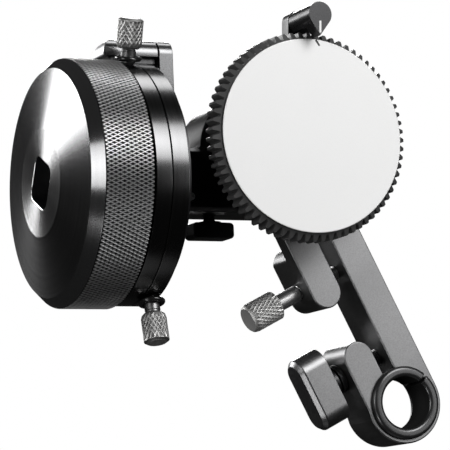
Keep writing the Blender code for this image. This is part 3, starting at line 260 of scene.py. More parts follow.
class FocusStudio(bpy.types.PropertyGroup):
    floor: size("Floor drop", "Floor below the rod bore", 0.6000)
    lens: FloatProperty(name="Lens", description="Focal length in millimetres", default=240.217)
    key: power("Key", "high front", 1.30)
    fill: power("Fill", "low front", 0.12)
    side: power("Side", "left", 0.44)
    low: power("Low", "low left", 0.20)
    rim: power("Rim", "rear top", 0.25)
    back: power("Back", "back", 1.3)
    right: power("Right", "rear right", 0.5)
    grid: turn("Grid", "Widest angle of the softboxes' light", 60)
    ambient: share("Ambient", "Brightness of the studio's far walls", 0.015)


GROUPS = (("focus_arm", FocusArmSizes), ("focus_screws", FocusScrewSizes),
          ("focus_gearbox", FocusGearboxSizes), ("focus_gear", FocusGearSizes),
          ("focus_wheel", FocusWheelSizes), ("focus_finish", FocusFinishes),
          ("focus_studio", FocusStudio))


# ---- modelling by hand ---------------------------------------------------------
def up_the_arm(height):
    return ARM_PLACE @ Matrix.Translation((0, 0, height))


def from_gear(x, y, z):
    return GEARBOX_PLACE @ Matrix.Translation((x, y, z))


def nothing_selected():
    active = bpy.context.view_layer.objects.active
    if active is not None and active.mode != "OBJECT":
        bpy.ops.object.mode_set(mode="OBJECT")
    bpy.ops.object.select_all(action="DESELECT")


def only(piece):
    nothing_selected()
    piece.select_set(True)
    bpy.context.view_layer.objects.active = piece


def leave_edit():
    bpy.ops.object.mode_set(mode="OBJECT")


def pen(name, start):
    """A new mesh of one point, open in edit mode."""
    nothing_selected()
    bpy.ops.mesh.primitive_plane_add(size=0.001, location=start)
    piece = bpy.context.object
    piece.name = piece.data.name = name
    bpy.ops.object.mode_set(mode="EDIT")
    bpy.ops.mesh.select_mode(type="VERT")
    bpy.ops.mesh.select_all(action="SELECT")
    bpy.ops.mesh.merge(type="CENTER")
    return piece


def draw(points):
    """Extrude the chosen point from the first of these places to the last."""
    for here, there in zip(points, points[1:]):
        bpy.ops.mesh.extrude_vertices_move(
            TRANSFORM_OT_translate={"value": Vector(there) - Vector(here)})


def weld():
    bpy.ops.mesh.select_all(action="SELECT")
    bpy.ops.mesh.remove_doubles(threshold=WELD)


def closed_up(piece, place):
    """Merge, turn the faces outwards, and fix the place in the mesh."""
    weld()
    bpy.ops.mesh.normals_make_consistent(inside=False)
    leave_edit()
    piece.matrix_world = place @ piece.matrix_world
    bpy.ops.object.transform_apply(location=True, rotation=True, scale=True)
    return piece


def spun(name, profile, steps):
    """Spin (radius, height) points about Z. A tube's outline closes on itself."""
    points = [(radius, 0, height) for radius, height in profile]
    if profile[0][0] > 0:
        points.append(points[0])
    piece = pen(name, points[0])
    draw(points)
    weld()
    bpy.ops.mesh.spin(steps=steps, angle=2 * pi, center=(0, 0, 0), axis=(0, 0, 1))
    return piece


def lathe(name, profile, place, steps=ROUNDS):
    return closed_up(spun(name, profile, steps), place)


def spot(axis, a, b, along):
    return {"X": (along, a, b), "Y": (a, along, b), "Z": (a, b, along)}[axis]


def slab(name, outline, low, high, axis, place):
    """Draw a flat outline, fill it, and extrude it."""
    points = [spot(axis, a, b, low) for a, b in outline]
    piece = pen(name, points[0])
    draw(points + points[:1])
    weld()
    bpy.ops.mesh.edge_face_add()
    bpy.ops.mesh.extrude_region_move(
        TRANSFORM_OT_translate={"value": spot(axis, 0, 0, high - low)})
    return closed_up(piece, place)


def rod(name, radius, low, high, place, steps=SMALLS):
    return lathe(name, [(0, low), (radius, low), (radius, high), (0, high)], place, steps)


def tube(name, inner, outer, low, high, place, steps=ROUNDS):
    return lathe(name, [(inner, low), (outer, low), (outer, high), (inner, high)], place, steps)


def arc(centre, radius, start, end, steps):
    return [(centre[0] + radius * cos(start + (end - start) * i / steps),
             centre[1] + radius * sin(start + (end - start) * i / steps))
            for i in range(steps + 1)]


def stadium(low, high, radius, steps=24):
    return arc(low, radius, pi, 2 * pi, steps) + arc(high, radius, 0, pi, steps)


def rounded(left, right, low, high, radius, steps=6):
    corners = ((right, low, -1, 1), (right, high, -1, -1), (left, high, 1, -1), (left, low, 1, 1))
    points = []
    for i, (x, z, dx, dz) in enumerate(corners):
        centre = (x + dx * radius, z + dz * radius)
        points += arc(centre, radius, pi / 2 * (i - 1), pi / 2 * i, steps)
    return points


def square(left, right, low, high):
    return [(left, low), (right, low), (right, high), (left, high)]


def finish_modifier(piece, name):
    only(piece)
    bpy.ops.object.modifier_apply(modifier=name)


def cut(piece, tool, operation="DIFFERENCE"):
    step = piece.modifiers.new("cut", "BOOLEAN")
    step.operation = operation
    step.solver = "EXACT"
    step.object = tool
    finish_modifier(piece, "cut")
    only(tool)
    bpy.ops.object.delete()


def carve(piece, outline, low, high, axis, place, operation="DIFFERENCE"):
    cut(piece, slab("tool", outline, low, high, axis, place), operation)


def bore(piece, radius, low, high, place, steps=SMALLS):
    cut(piece, rod("tool", radius, low, high, place, steps))


def choose(piece, wanted, kind="faces"):
    """Open the piece in edit mode with only the wanted elements selected."""
    only(piece)
    bpy.ops.object.mode_set(mode="EDIT")
    bpy.ops.mesh.select_mode(type={"faces": "FACE", "edges": "EDGE", "verts": "VERT"}[kind])
    bpy.ops.mesh.select_all(action="DESELECT")
    mesh = bmesh.from_edit_mesh(piece.data)
    for item in getattr(mesh, kind):
        item.select_set(wanted(item))
    bmesh.update_edit_mesh(piece.data)


def bevel_chosen(width, segments=1):
    """Bevel what is selected in edit mode, and leave it."""
    bpy.ops.mesh.bevel(offset=width, segments=segments, affect="EDGES")
    leave_edit()


def round_edges(piece, width, segments=2, angle=32):
    """Break every edge that is sharper than the angle."""
    step = piece.modifiers.new("edges", "BEVEL")
    step.width = width
    step.segments = segments
    step.limit_method = "ANGLE"
    step.angle_limit = radians(angle)
    step.use_clamp_overlap = False
    step.miter_outer = "MITER_ARC"
    finish_modifier(piece, "edges")


def finished(piece, finish, node, body=None, angle=38, keep=False, where=None):
    """Smooth a piece, give it its finish, and let it stand for its CAD node.

    Of several finishes, where(face) picks one. A piece with no node names its body.
    """
    only(piece)
    bpy.ops.object.shade_smooth_by_angle(angle=radians(angle), keep_sharp_edges=keep)
    step = piece.modifiers.new("normals", "WEIGHTED_NORMAL")
    step.keep_sharp = True
    finish_modifier(piece, "normals")
    for name in (finish,) if isinstance(finish, str) else finish:
        piece.data.materials.append(finish_of(name))
    if where is not None:
        for face in piece.data.polygons:
            face.material_index = where(face)
    if node is not None:
        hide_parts(node)
        body = frame["nodes"][node]["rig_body"]
    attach(piece, body)


def thread(radius, low, high, pitch=0.0006, depth=0.00022):
    """Outline of a threaded length, as rings, from low to high."""
    count = max(1, int((high - low) / pitch))
    return [(radius - less, low + (i + part) * pitch) for i in range(count)
            for less, part in ((depth, 0.15), (0, 0.5), (depth, 0.85))]


def off_axis(point):
    return sqrt(point.x ** 2 + point.y ** 2)


def knurled_rod(name, radius, low, high, chamfer, around, rows, depth, place, bore=0.0):
    """A turned piece whose band is a net of crossed ridges with a pit in each diamond."""
    start, end = low + chamfer, high - chamfer
    band = [(radius, start + (end - start) * i / rows) for i in range(rows + 1)]
    inner = radius - depth - chamfer
    profile = [(bore, low), (inner, low)] + band + [(inner, high), (bore, high)]
    piece = spun(name, profile, around * 2)
    weld()
    leave_edit()
    bpy.ops.object.transform_apply(location=True, rotation=True, scale=True)

    def pressed(vert):
        x, y, z = vert.co
        if off_axis(vert.co) < radius - WELD * 10 or not start - WELD < z < end + WELD:
            return False
        row = round((z - start) / (end - start) * rows)
        column = round((atan2(y, x) % (2 * pi)) / pi * around)
        if not bore and row in (0, rows):
            return row == 0
        return (row + column) % 2 == 1

    choose(piece, pressed, "verts")
    less = (radius - depth) / radius
    bpy.ops.transform.resize(value=(less, less, 1), center_override=(0, 0, 0))
    leave_edit()

    def in_band(face):
        middle = face.calc_center_median()
        return off_axis(middle) > radius - depth - WELD * 10 and start < middle.z < end

    choose(piece, in_band)
    bpy.ops.mesh.quads_convert_to_tris(quad_method="LONGEST_DIAGONAL")
    leave_edit()
    crest = radius - depth * 0.1
    choose(piece, lambda edge: all(off_axis(v.co) > crest for v in edge.verts), "edges")
    bpy.ops.mesh.bevel(offset=depth * 0.08, segments=1, affect="EDGES")
    return closed_up(piece, place)


# ---- finishes --------------------------------------------------------------------
class Paint:
    """A material and the few calls that build its nodes."""

    def __init__(self, name, colour_value, roughness, metallic):
        self.mat = bpy.data.materials.new(name)
        self.mat.use_nodes = True
        self.tree = self.mat.node_tree
        self.shader = self.tree.nodes["Principled BSDF"]
        self.colour = tuple(colour_value) + (1.0,)
        self.mat.diffuse_color = self.colour
        self.set("Base Color", self.colour)
        self.set("Roughness", roughness)
        self.set("Metallic", metallic)
        self.place = self.add("ShaderNodeTexCoord").outputs["Object"]

    def add(self, kind, links=(), **settings):
        node = self.tree.nodes.new(kind)
        for key, value in settings.items():
            setattr(node, key, value)
        for key, value in dict(links).items():
            if isinstance(value, bpy.types.NodeSocket):
                self.tree.links.new(value, node.inputs[key])
            else:
                node.inputs[key].default_value = value
        return node

    def set(self, key, value):
        self.shader.inputs[key].default_value = value

    def link(self, output, key):
        self.tree.links.new(output, self.shader.inputs[key])

    def noise(self, scale, detail=2.0):
        node = self.add("ShaderNodeTexNoise", {"Vector": self.place, "Scale": scale,
                                               "Detail": detail})
        return node.outputs["Fac"]

    def maths(self, operation, first, second=0.0):
        node = self.add("ShaderNodeMath", {0: first, 1: second}, operation=operation)
        return node.outputs[0]

    def vectors(self, operation, first, second):
        node = self.add("ShaderNodeVectorMath", {0: first, 1: second}, operation=operation)
        return node.outputs["Value" if operation in ("LENGTH", "DOT_PRODUCT") else "Vector"]

    def spread(self, value, low, high, to_low=0.0, to_high=1.0):
        node = self.add("ShaderNodeMapRange", {"Value": value, "From Min": low, "From Max": high,
                                               "To Min": to_low, "To Max": to_high})
        return node.outputs["Result"]

    def about(self, value, middle, reach):
        """Noise brought to a range round the middle value."""
        return self.spread(value, 0.3, 0.7, middle - reach, middle + reach)

    def mix(self, amount, first, second):
        node = self.add("ShaderNodeMix", {"Factor": amount}, data_type="RGBA")
        for socket, value in ((node.inputs[6], first), (node.inputs[7], second)):
            if isinstance(value, bpy.types.NodeSocket):
                self.tree.links.new(value, socket)
            else:
                socket.default_value = value
        return node.outputs[2]

    def bump(self, height, distance, strength):
        node = self.add("ShaderNodeBump", {"Height": height, "Strength": strength,
                                           "Distance": distance})
        self.link(node.outputs["Normal"], "Normal")

    def edges(self, radius):
        """Near 1 on an edge, and 0 on a plain face."""
        soft = self.add("ShaderNodeBevel", {"Radius": radius}, samples=6).outputs["Normal"]
        true = self.add("ShaderNodeNewGeometry").outputs["Normal"]
        return self.spread(self.vectors("DOT_PRODUCT", soft, true), 0.995, 0.86)

    def shade(self, factor):
        return tuple(min(1.0, part * factor) for part in self.colour[:3]) + (1.0,)


def anodised(name, colour_value, roughness, grain, glint, metallic=1.0, blast=2600.0):
    """Bead-blasted, anodised aluminium: fine grain, faint clouds, and edges painted paler as a
    highlight.
    """
    paint = Paint(name, colour_value, roughness, metallic)
    fine = paint.noise(blast, 3.0)
    clouds = paint.noise(55.0, 3.0)
    contrast = 0.45 * grain
    tone = paint.mix(paint.spread(fine, 0.3, 0.7), paint.shade(1 - contrast),
                     paint.shade(1 + contrast))
    tone = paint.mix(paint.spread(clouds, 0.35, 0.65, 0.0, 0.22), tone, paint.shade(0.72))
    # painted highlight: edges are mixed towards a pale grey
    lit_edges = paint.maths("MULTIPLY", paint.edges(0.00035),
                       paint.spread(paint.noise(420.0), 0.35, 0.62, 0.25, 1.0))
    paint.link(paint.mix(paint.maths("MULTIPLY", lit_edges, glint), tone, (0.42, 0.42, 0.42, 1.0)),
               "Base Color")
    rough = paint.maths("ADD", paint.about(fine, roughness, 0.05),
                        paint.spread(clouds, 0.35, 0.65, -0.03, 0.03))
    paint.link(rough, "Roughness")
    paint.bump(fine, 0.00002, 0.35 * grain)
    return paint.mat


def turned(name, colour_value, roughness, stretch, origin, axis, metallic=1.0, pitch=5200.0,
           glint=0.0):
    """Lathe-turned metal: fine rings round the axis stretch its highlights."""
    paint = Paint(name, colour_value, roughness, metallic)
    offset = paint.vectors("SUBTRACT", paint.place, tuple(origin))
    along = paint.vectors("DOT_PRODUCT", offset, tuple(axis))
    round_it = paint.vectors("CROSS_PRODUCT", offset, tuple(axis))
    radius = paint.vectors("LENGTH", round_it, (0, 0, 0))
    step = paint.maths("ADD", radius, along)
    rings, broad = (paint.add("ShaderNodeTexNoise", {"W": step, "Scale": scale, "Detail": 2.0},
                              noise_dimensions="1D").outputs["Fac"] for scale in (pitch, 700.0))
    smear = paint.noise(90.0, 3.0)
    tone = paint.mix(paint.spread(rings, 0.3, 0.7), paint.shade(0.96), paint.shade(1.04))
    tone = paint.mix(paint.spread(smear, 0.4, 0.7, 0.0, 0.10), tone, paint.shade(0.8))
    # painted highlight: edges are mixed towards a pale grey
    if glint:
        tone = paint.mix(paint.maths("MULTIPLY", paint.edges(0.0003), glint), tone,
                         (0.5, 0.5, 0.5, 1.0))
    paint.link(tone, "Base Color")
    rough = paint.maths("ADD", paint.about(rings, roughness, 0.02), paint.about(broad, 0, 0.01))
    paint.link(rough, "Roughness")
    paint.bump(rings, 0.00001, 0.03)
    paint.set("Anisotropic", stretch)
    paint.set("Anisotropic Rotation", 0.25)
    world = paint.add("ShaderNodeVectorTransform", {"Vector": round_it}, vector_type="VECTOR",
                      convert_from="OBJECT", convert_to="WORLD")
    paint.link(world.outputs["Vector"], "Tangent")
    return paint.mat


def knurled(name, colour_value, roughness, origin, axis, valley, peak, dark):
    """Knurled metal: crests painted lighter as a highlight, and pits painted darker as shade."""
    paint = Paint(name, colour_value, roughness, 1.0)
    offset = paint.vectors("SUBTRACT", paint.place, tuple(origin))
    round_it = paint.vectors("CROSS_PRODUCT", offset, tuple(axis))
    radius = paint.vectors("LENGTH", round_it, (0, 0, 0))
    # 1 on the crests and the end faces, 0 in the pits: the mask of the painted light
    high = paint.maths("MAXIMUM", paint.spread(radius, (valley + peak) / 2, peak),
                       paint.spread(radius, valley - 0.0006, valley - 0.0003, 1.0, 0.0))
    grit = paint.noise(4200.0, 2.0)
    patchy = paint.noise(300.0, 2.0)
    # painted shade in the pits, painted highlight on the crests
    tone = paint.mix(high, paint.shade(dark), paint.shade(1.15))
    tone = paint.mix(paint.spread(patchy, 0.35, 0.7, 0.0, 0.2), tone, paint.shade(0.7))
    paint.link(tone, "Base Color")
    paint.link(paint.maths("ADD", paint.about(grit, roughness, 0.04),
                           paint.maths("MULTIPLY", high, -0.06)), "Roughness")
    paint.bump(grit, 0.00001, 0.10)
    return paint.mat


def moulded(name, colour_value, roughness, scale, depth, cloud=0.06, shine=0.5):
    """Moulded or machined plastic and rubber with a soft uneven sheen."""
    paint = Paint(name, colour_value, roughness, 0.0)
    skin = paint.noise(scale, 3.0)
    clouds = paint.noise(70.0, 2.0)
    paint.link(paint.mix(paint.spread(clouds, 0.35, 0.65), paint.shade(1 - cloud),
                         paint.shade(1 + cloud)), "Base Color")
    paint.link(paint.maths("ADD", paint.about(skin, roughness, 0.05),
                           paint.spread(clouds, 0.35, 0.65, -cloud / 2, cloud / 2)), "Roughness")
    paint.set("Specular IOR Level", shine)
    paint.bump(skin, depth, 0.2)
    return paint.mat


MADE = {}


def grey(level, blue=0.0):
    """An even grey, or one with a little more blue."""
    return (level, level, level + blue)


def finish_of(name):
    """Each finish is made once, the first time that a piece asks for it."""
    if name in MADE:
        return MADE[name]
    scene = bpy.context.scene
    tint, wheel, screws = scene.focus_finish, scene.focus_wheel, scene.focus_screws
    x_axis, y_axis, z_axis = Vector((1, 0, 0)), Vector((0, 1, 0)), Vector((0, 0, 1))
    tilt = ARM_PLACE.to_3x3()
    on_wheel, on_gear = (WHEEL_AXIS, x_axis), (GEAR_AXIS, y_axis)
    on_clamp = (tilt @ z_axis * (ARM_LENGTH - screws.clamp_drop), tilt @ x_axis)
    grain, glint = tint.grain, tint.glint
    clamp_knob, stop_knob = ((radius - KNOB_KNURL, radius)
                             for radius in (screws.clamp_knob, wheel.knob))
    finishes = {
        # glint, and the 0.3 at the end of ring and bushing, paint the edges lighter as a highlight
        "grey": (anodised, tint.grey, 0.38, grain, glint),
        "black": (anodised, tint.black, 0.34, grain * 0.6, glint, 0.6),
        "wheel_flat": (turned, tint.flat, 0.24, 0.85, *on_wheel),
        "wheel_face": (turned, tint.wheel, 0.24, 0.80, *on_wheel),
        "wheel_rim": (turned, tint.wheel, 0.16, 0.4, *on_wheel, 0.9),
        "wheel_black": (turned, tint.black, 0.30, 0.3, *on_wheel, 0.6),
        # the last number of each knurled finish is how dark its pits are painted, as shade
        "grip": (knurled, tint.grip, 0.36, *on_wheel, wheel.grip - wheel.knurl, wheel.grip,
                 0.08),
        "ring": (turned, grey(0.090, 0.001), 0.22, 0.3, *on_wheel, 1.0, 4200.0, 0.3),
        "block": (anodised, grey(0.13, 0.002), 0.28, grain * 0.15, 0.0, 0.95, 8000.0),
        # nose: a lighter copy of the block's finish for its faces turned to the left, a painted
        # highlight
        "nose": (anodised, grey(0.44, 0.005), 0.42, 0.1, 0.0, 1.0, 8000.0),
        "pointer": (anodised, grey(0.034, 0.001), 0.30, grain * 0.6, glint, 0.8),
        "neck": (turned, tint.black, 0.30, 0.4, *on_gear, 0.6),
        "steel_x": (turned, tint.steel, 0.24, 0.5, *on_wheel),
        "steel_y": (turned, tint.steel, 0.24, 0.5, *on_gear),
        "steel_clamp": (turned, grey(0.46), 0.46, 0.2, *on_clamp),
        "steel_bar": (anodised, grey(0.85), 0.45, 0.2, 0.0),
        "stop_steel": (anodised, grey(0.20), 0.42, 0.2, 0.0),
        "steel": (anodised, tint.steel, 0.30, 0.3, 0.0),
        "bronze": (anodised, tint.bronze, 0.36, 0.4, 0.2),
        "clamp_knurl": (knurled, [part * 1.5 for part in tint.silver], 0.55, *on_clamp,
                        *clamp_knob, 0.5),
        "bushing": (turned, grey(0.065, 0.001), 0.28, 0.20, Vector(), y_axis, 0.8,
                    4200.0, 0.3),
        # bore: a darker, unreflecting copy of the bushing's black for its bore wall, painted shade
        "bore": (moulded, grey(0.012), 0.75, 2200.0, 0.00001, 0.06, 0.0),
        "gear": (moulded, tint.gear, 0.36, 1800.0, 0.00001, 0.10),
        "white": (moulded, tint.white, 0.30, 6000.0, 0.0, 0.004),
        # ink: the dark matte finish of the disc's edge and of the short dark stroke on its face
        "ink": (moulded, grey(0.01), 0.55, 3000.0, 0.00001),
        "rubber": (moulded, tint.rubber, 0.16, 1400.0, 0.000004),
    }
    for index in "12":
        joint = JOINTS["ring_screw_%s_turn" % index]
        # the last number is how dark the pits are painted, as shade
        finishes["stop_knurl_" + index] = (knurled, tint.silver, 0.52, Vector(joint["pos_m"]),
                                           Vector(joint["axis"]), *stop_knob, 0.4)
    maker, *settings = finishes[name]
    MADE[name] = maker(name, *settings)
    return MADE[name]


# ---- one operator for each piece or group of like pieces ---------------------------
class Piece:
    """What every operator below shares."""
    bl_options = {"REGISTER", "UNDO"}


class FOCUS_OT_arm(Piece, bpy.types.Operator):
    """Model the tilted arm: round ends, two slots, two jaws and the relief behind the neck"""
    bl_idname = "focus.arm"
    bl_label = "Support arm"

    def execute(self, context):
        a, s, g = context.scene.focus_arm, context.scene.focus_screws, context.scene.focus_gearbox
        half, mid, slot = a.width / 2, a.depth / 2, a.slot / 2
        side, curve = slot + a.jaw, a.jaw / 2
        centre, out, far = slot + curve, half + OVER, mid + OVER
        ends = stadium((0, 0), (0, ARM_LENGTH), half, 48)
        arm = slab("support_arm", ends, -mid, mid, "Y", ARM_PLACE)
        rise, past = sqrt(half ** 2 - side ** 2), half + 0.00015
        slot_top = ARM_LENGTH - g.neck / 2
        gap = [(slot, a.bush / 2), (slot, slot_top), (-slot, slot_top)]
        gap += arc((-centre, ARM_LENGTH - a.upper_jaw + curve), curve, 0, -pi, 16)
        gap += [(-side, ARM_LENGTH - rise), (-past, ARM_LENGTH + OVER), (-out, ARM_LENGTH + OVER),
                (-out, -OVER), (-past, -OVER), (-side, rise)]
        gap += arc((-centre, a.lower_jaw - curve), curve, pi, 0, 16) + [(-slot, a.bush / 2)]
        carve(arm, gap, -far, far, "Y", ARM_PLACE)
        bar, boss = ARM_LENGTH - a.bar_relief, ARM_LENGTH - a.jaw_relief - curve
        relief = [(out, bar), (out, ARM_LENGTH + out), (-out, ARM_LENGTH + out), (-out, boss)]
        wide = curve + 0.0004
        relief += arc((-centre, boss), wide, pi, 0, 16) + [(wide - centre, bar)]
        carve(arm, relief, a.neck_plate - mid, far, "Y", ARM_PLACE)
        bore(arm, a.bush + GAP, -far, far, ROD_LINE, TURNS)
        bore(arm, g.neck + RUN, -far, far, up_the_arm(ARM_LENGTH) @ ALONG_Y, TURNS)
        round_edges(arm, a.edge, 3)
        for height, radius in ((s.wing_height, s.wing_stud),
                               (ARM_LENGTH - s.clamp_drop, s.clamp_stud)):
            bore(arm, radius + GAP, -out, s.reach + GAP, up_the_arm(height) @ ALONG_X)
        finished(arm, "grey", "arm")
        return {"FINISHED"}


class FOCUS_OT_rod_bushing(Piece, bpy.types.Operator):
    """Model the flanged, slit bushing that takes the support rod"""
    bl_idname = "focus.rod_bushing"
    bl_label = "Rod bushing"

    def execute(self, context):
        a = context.scene.focus_arm
        face = -a.depth / 2 - GAP
        front = face - a.flange_depth
        back = front + a.bush_length
        lip = 0.0012
        profile = arc((a.rod + lip, front + lip), lip, pi, 3 * pi / 2, 6)
        profile += arc((a.flange - lip, front + lip), lip, -pi / 2, 0, 8)
        profile += [(a.flange, face), (a.bush, face), (a.bush, back), (a.rod, back)]
        bush = lathe("rod_bush", profile, ROD_LINE, TURNS)
        slit = square(a.rod / 2, a.flange + OVER, -a.slit / 2, a.slit / 2)
        place = ARM_PLACE @ Matrix.Rotation(-a.slit_turn, 4, "Y")
        carve(bush, slit, front - OVER, back + OVER, "Y", place)
        round_edges(bush, 0.00012)
        # the bore wall takes the darker bore finish, painted shade inside the bushing
        wall = a.rod + 0.0001                   # what lies inside it is the bore
        finished(bush, ("bushing", "bore"), "rod_bushing",
                 where=lambda face: int(sqrt(face.center.x ** 2 + face.center.z ** 2) < wall))
        return {"FINISHED"}


class FOCUS_OT_wing_knob(Piece, bpy.types.Operator):
    """Model the rod clamp's wing knob, its stud and its washer"""
    bl_idname = "focus.wing_knob"
    bl_label = "Wing knob"

    def execute(self, context):
        a, s = context.scene.focus_arm, context.scene.focus_screws
        place = up_the_arm(s.wing_height)
        line = place @ ALONG_X
        reach = s.wing_half - s.wing_thick / 2
        knob = slab("wing_grip", stadium((0, -reach), (0, reach), s.wing_thick / 2),
                    -s.wing_outer, -s.wing_inner, "X", place)
        across = ARM_PLACE.to_3x3() @ Vector((1, 0, 0))
        choose(knob, lambda face: face.normal.dot(across) < -0.99)
        bevel_chosen(s.wing_chamfer)
        round_edges(knob, 0.0003, 3, 25)
        finished(knob, "grey", "wing_knob")
        side = a.slot / 2 + a.jaw
        washer_radius, washer_depth = 0.0044, 0.0015
        washer_out = side + GAP + washer_depth
        collar, collar_radius, lip = washer_out + GAP, 0.0040, 0.0003
        head = -s.wing_inner + GAP
        profile = [(0, head), (collar_radius, head), (collar_radius, -collar - lip),
                   (0.0037, -collar), (s.wing_stud, -collar), (s.wing_stud, -side)]
        profile += thread(s.wing_stud, -side + 0.0002, s.reach - POINT)
        profile += [(s.wing_stud - POINT, s.reach), (0, s.reach)]
        stud = lathe("wing_screw", profile, line, SMALLS)
        finished(stud, "black", "wing_stud", angle=30)
        washer = tube("wing_ring", s.wing_stud + GAP, washer_radius, -washer_out, -side - GAP,
                      line)
        round_edges(washer, 0.00025, 3)
        finished(washer, "black", "wing_washer")
        return {"FINISHED"}


class FOCUS_OT_clamp_screw(Piece, bpy.types.Operator):
    """Model the neck clamp's knurled thumb screw"""
    bl_idname = "focus.clamp_screw"
    bl_label = "Neck clamp screw"

    def execute(self, context):
        a, s = context.scene.focus_arm, context.scene.focus_screws
        place = up_the_arm(ARM_LENGTH - s.clamp_drop) @ ALONG_X
        knob = knurled_rod("clamp_thumb", s.clamp_knob, -s.clamp_outer, -s.clamp_inner, 0.0005,
                           22, 9, KNOB_KNURL, place)
        finished(knob, "clamp_knurl", "clamp_knob", angle=20)
        face = -a.slot / 2 - a.jaw - GAP
        head = -s.clamp_inner + GAP
        profile = [(0, head), (s.clamp_neck, head), (s.clamp_neck, face - 0.0004),
                   (s.clamp_neck - 0.0003, face), (s.clamp_stud, face)]
        profile += thread(s.clamp_stud, face + 0.0003, s.reach - POINT)
        profile += [(s.clamp_stud - POINT, s.reach), (0, s.reach)]
        stud = lathe("clamp_screw", profile, place, SMALLS)
        finished(stud, "steel_clamp", "clamp_stud", angle=30)
        return {"FINISHED"}


def body_outline(g):
    """Front view of the gearbox: round shoulders and a square bar to the left."""
    centre_z, centre_x = g.top - g.shoulder, g.half - g.shoulder
    corner = 0.0012                             # hollow corner where the bar begins
    rise = g.bar_top + corner - centre_z
    reach = g.shoulder + corner
    lean = asin(rise / reach)
    points = [(-g.bar_end, -g.bottom), (g.half, -g.bottom)]
    points += arc((centre_x, centre_z), g.shoulder, 0, pi / 2, 24)
    points += arc((-centre_x, centre_z), g.shoulder, pi / 2, pi - lean, 24)
    points += arc((-centre_x - reach * cos(lean), centre_z + rise), corner, -lean, -pi / 2, 6)[1:]
    return points + [(-g.bar_end, g.bar_top)]


def node_depth(name):
    """Front and back of a CAD node along Y."""
    low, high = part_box(name)
    return low.y, high.y


def cover_places(g):
    inset, apart = 0.0028, 0.0072
    x, high = g.cover_half - inset, g.cover_top - inset
    return [(-x, high), (x, high), (-x, high - apart), (x, high - apart)]


class FOCUS_OT_gearbox(Piece, bpy.types.Operator):
    """Model the gearbox body, with its cavity and bores, and the neck in the arm"""
    bl_idname = "focus.gearbox"
    bl_label = "Gearbox and neck"

    def execute(self, context):
        g = context.scene.focus_gearbox
        front, back = node_depth("housing")
        drop, behind = GEAR_AXIS.z - WHEEL_AXIS.z, WHEEL_AXIS.y
        body = slab("gearbox_body", body_outline(g), front, back, "Y", GEARBOX_PLACE)
        choose(body, lambda face: face.normal.y < -0.99)
        bevel_chosen(g.chamfer)
        round_edges(body, 0.00025, 2, 25)
        cover_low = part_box("rear_cover")[0].z - GEAR_AXIS.z
        wide = g.cover_half + GAP
        inside = back - g.cover_depth - GAP
        cavity_half, cavity_top = 0.0080, 0.0070
        cavity = square(-cavity_half, cavity_half, cover_low + 0.0004, cavity_top)
        carve(body, cavity, front + 0.00272, inside + OVER, "Y", GEARBOX_PLACE)
        recess = rounded(-wide, wide, cover_low - GAP, g.cover_top + GAP, 0.0023)
        carve(body, recess, inside, back + OVER, "Y", GEARBOX_PLACE)
        sleeve_low, sleeve_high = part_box("neck_sleeve")
        seat = sleeve_high.y
        wheel = from_gear(0, behind, -drop) @ ALONG_X
        lock = from_gear(-g.t_x, behind, 0)
        small = from_gear(-g.set_x, 0, -g.set_drop) @ ALONG_Y
        meet = cavity_half - OVER
        for radius, low, high, place, steps in (
                (g.neck + GAP, front - OVER, seat + GAP, GEAR_LINE, ROUNDS),    # neck sleeve
                (0.0050, seat, front + 0.0038, GEAR_LINE, SMALLS),              # drive shaft
                (0.0060, -g.bar_end - OVER, -meet, wheel, SMALLS),              # wheel bush
                (0.0028, meet, 0.0106, wheel, SMALLS),                          # wheel shaft
                (0.00205, -g.bottom - OVER, -drop, lock, SMALLS),               # lock's stud
                (0.0015, front - OVER, front + 0.0025, small, SMALLS)):         # front screw
            bore(body, radius, low, high, place, steps)
        finished(body, "black", "housing")
        start, shoulder, lip = sleeve_low.y, -g.neck_front, 0.0003
        inner, nose = 0.0063, 0.0075
        profile = [(inner, start), (nose - lip, start), (nose, start + lip), (nose, shoulder),
                   (g.neck - lip, shoulder), (g.neck, shoulder + lip), (g.neck, seat),
                   (inner, seat)]
        neck = lathe("neck_tube", profile, GEAR_LINE, TURNS)
        finished(neck, "neck", "neck_sleeve")
        return {"FINISHED"}


def socket_screw(name, node, radius, low, high, place, socket, deep, finish):
    """A small screw whose hexagon socket is at its low end."""
    edge = 0.0002
    profile = [(0, low), (radius - edge, low), (radius, low + edge), (radius, high), (0, high)]
    screw = lathe(name, profile, place, TINY)
    bore(screw, socket, low - OVER, low + deep, place, 6)
    finished(screw, finish, node, angle=30)


class FOCUS_OT_rear_cover(Piece, bpy.types.Operator):
    """Model the rear cover, its four screws and the small screw in the bar"""
    bl_idname = "focus.rear_cover"
    bl_label = "Rear cover and screws"

    def execute(self, context):
        g = context.scene.focus_gearbox
        low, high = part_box("rear_cover")
        outline = rounded(-g.cover_half, g.cover_half, low.z - GEAR_AXIS.z, g.cover_top, 0.0020)
        plate = slab("cover_plate", outline, low.y, high.y, "Y", GEARBOX_PLACE)
        round_edges(plate, 0.0003, 3)
        shaft_end, deep, hole, screw_radius = 0.0028, 0.0020, 0.0013, 0.00128
        bore(plate, shaft_end, low.y - OVER, low.y + deep, GEAR_LINE)
        back = GEARBOX_PLACE @ Matrix.Rotation(pi, 4, "Z")
        for i, (x, z) in enumerate(cover_places(g), 1):
            place = from_gear(x, 0, z) @ ALONG_Y
            bore(plate, hole, low.y - OVER, high.y + OVER, place, TINY)
            near = back @ Matrix.Translation((-x, 0, z)) @ ALONG_Y
            screw_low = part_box("cover_screw_%d" % i)[0].y
            socket_screw("cover_fixing_%d" % i, "cover_screw_%d" % i, screw_radius, -high.y,
                         -screw_low, near, 0.0007, 0.0011, "steel")
        finished(plate, "black", "rear_cover")
        low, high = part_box("set_screw")
        place = from_gear(-g.set_x, 0, -g.set_drop) @ ALONG_Y
        socket_screw("bar_fixing", "set_screw", 0.0012, low.y, high.y, place, 0.0006, 0.0010,
                     "steel_bar")
        return {"FINISHED"}


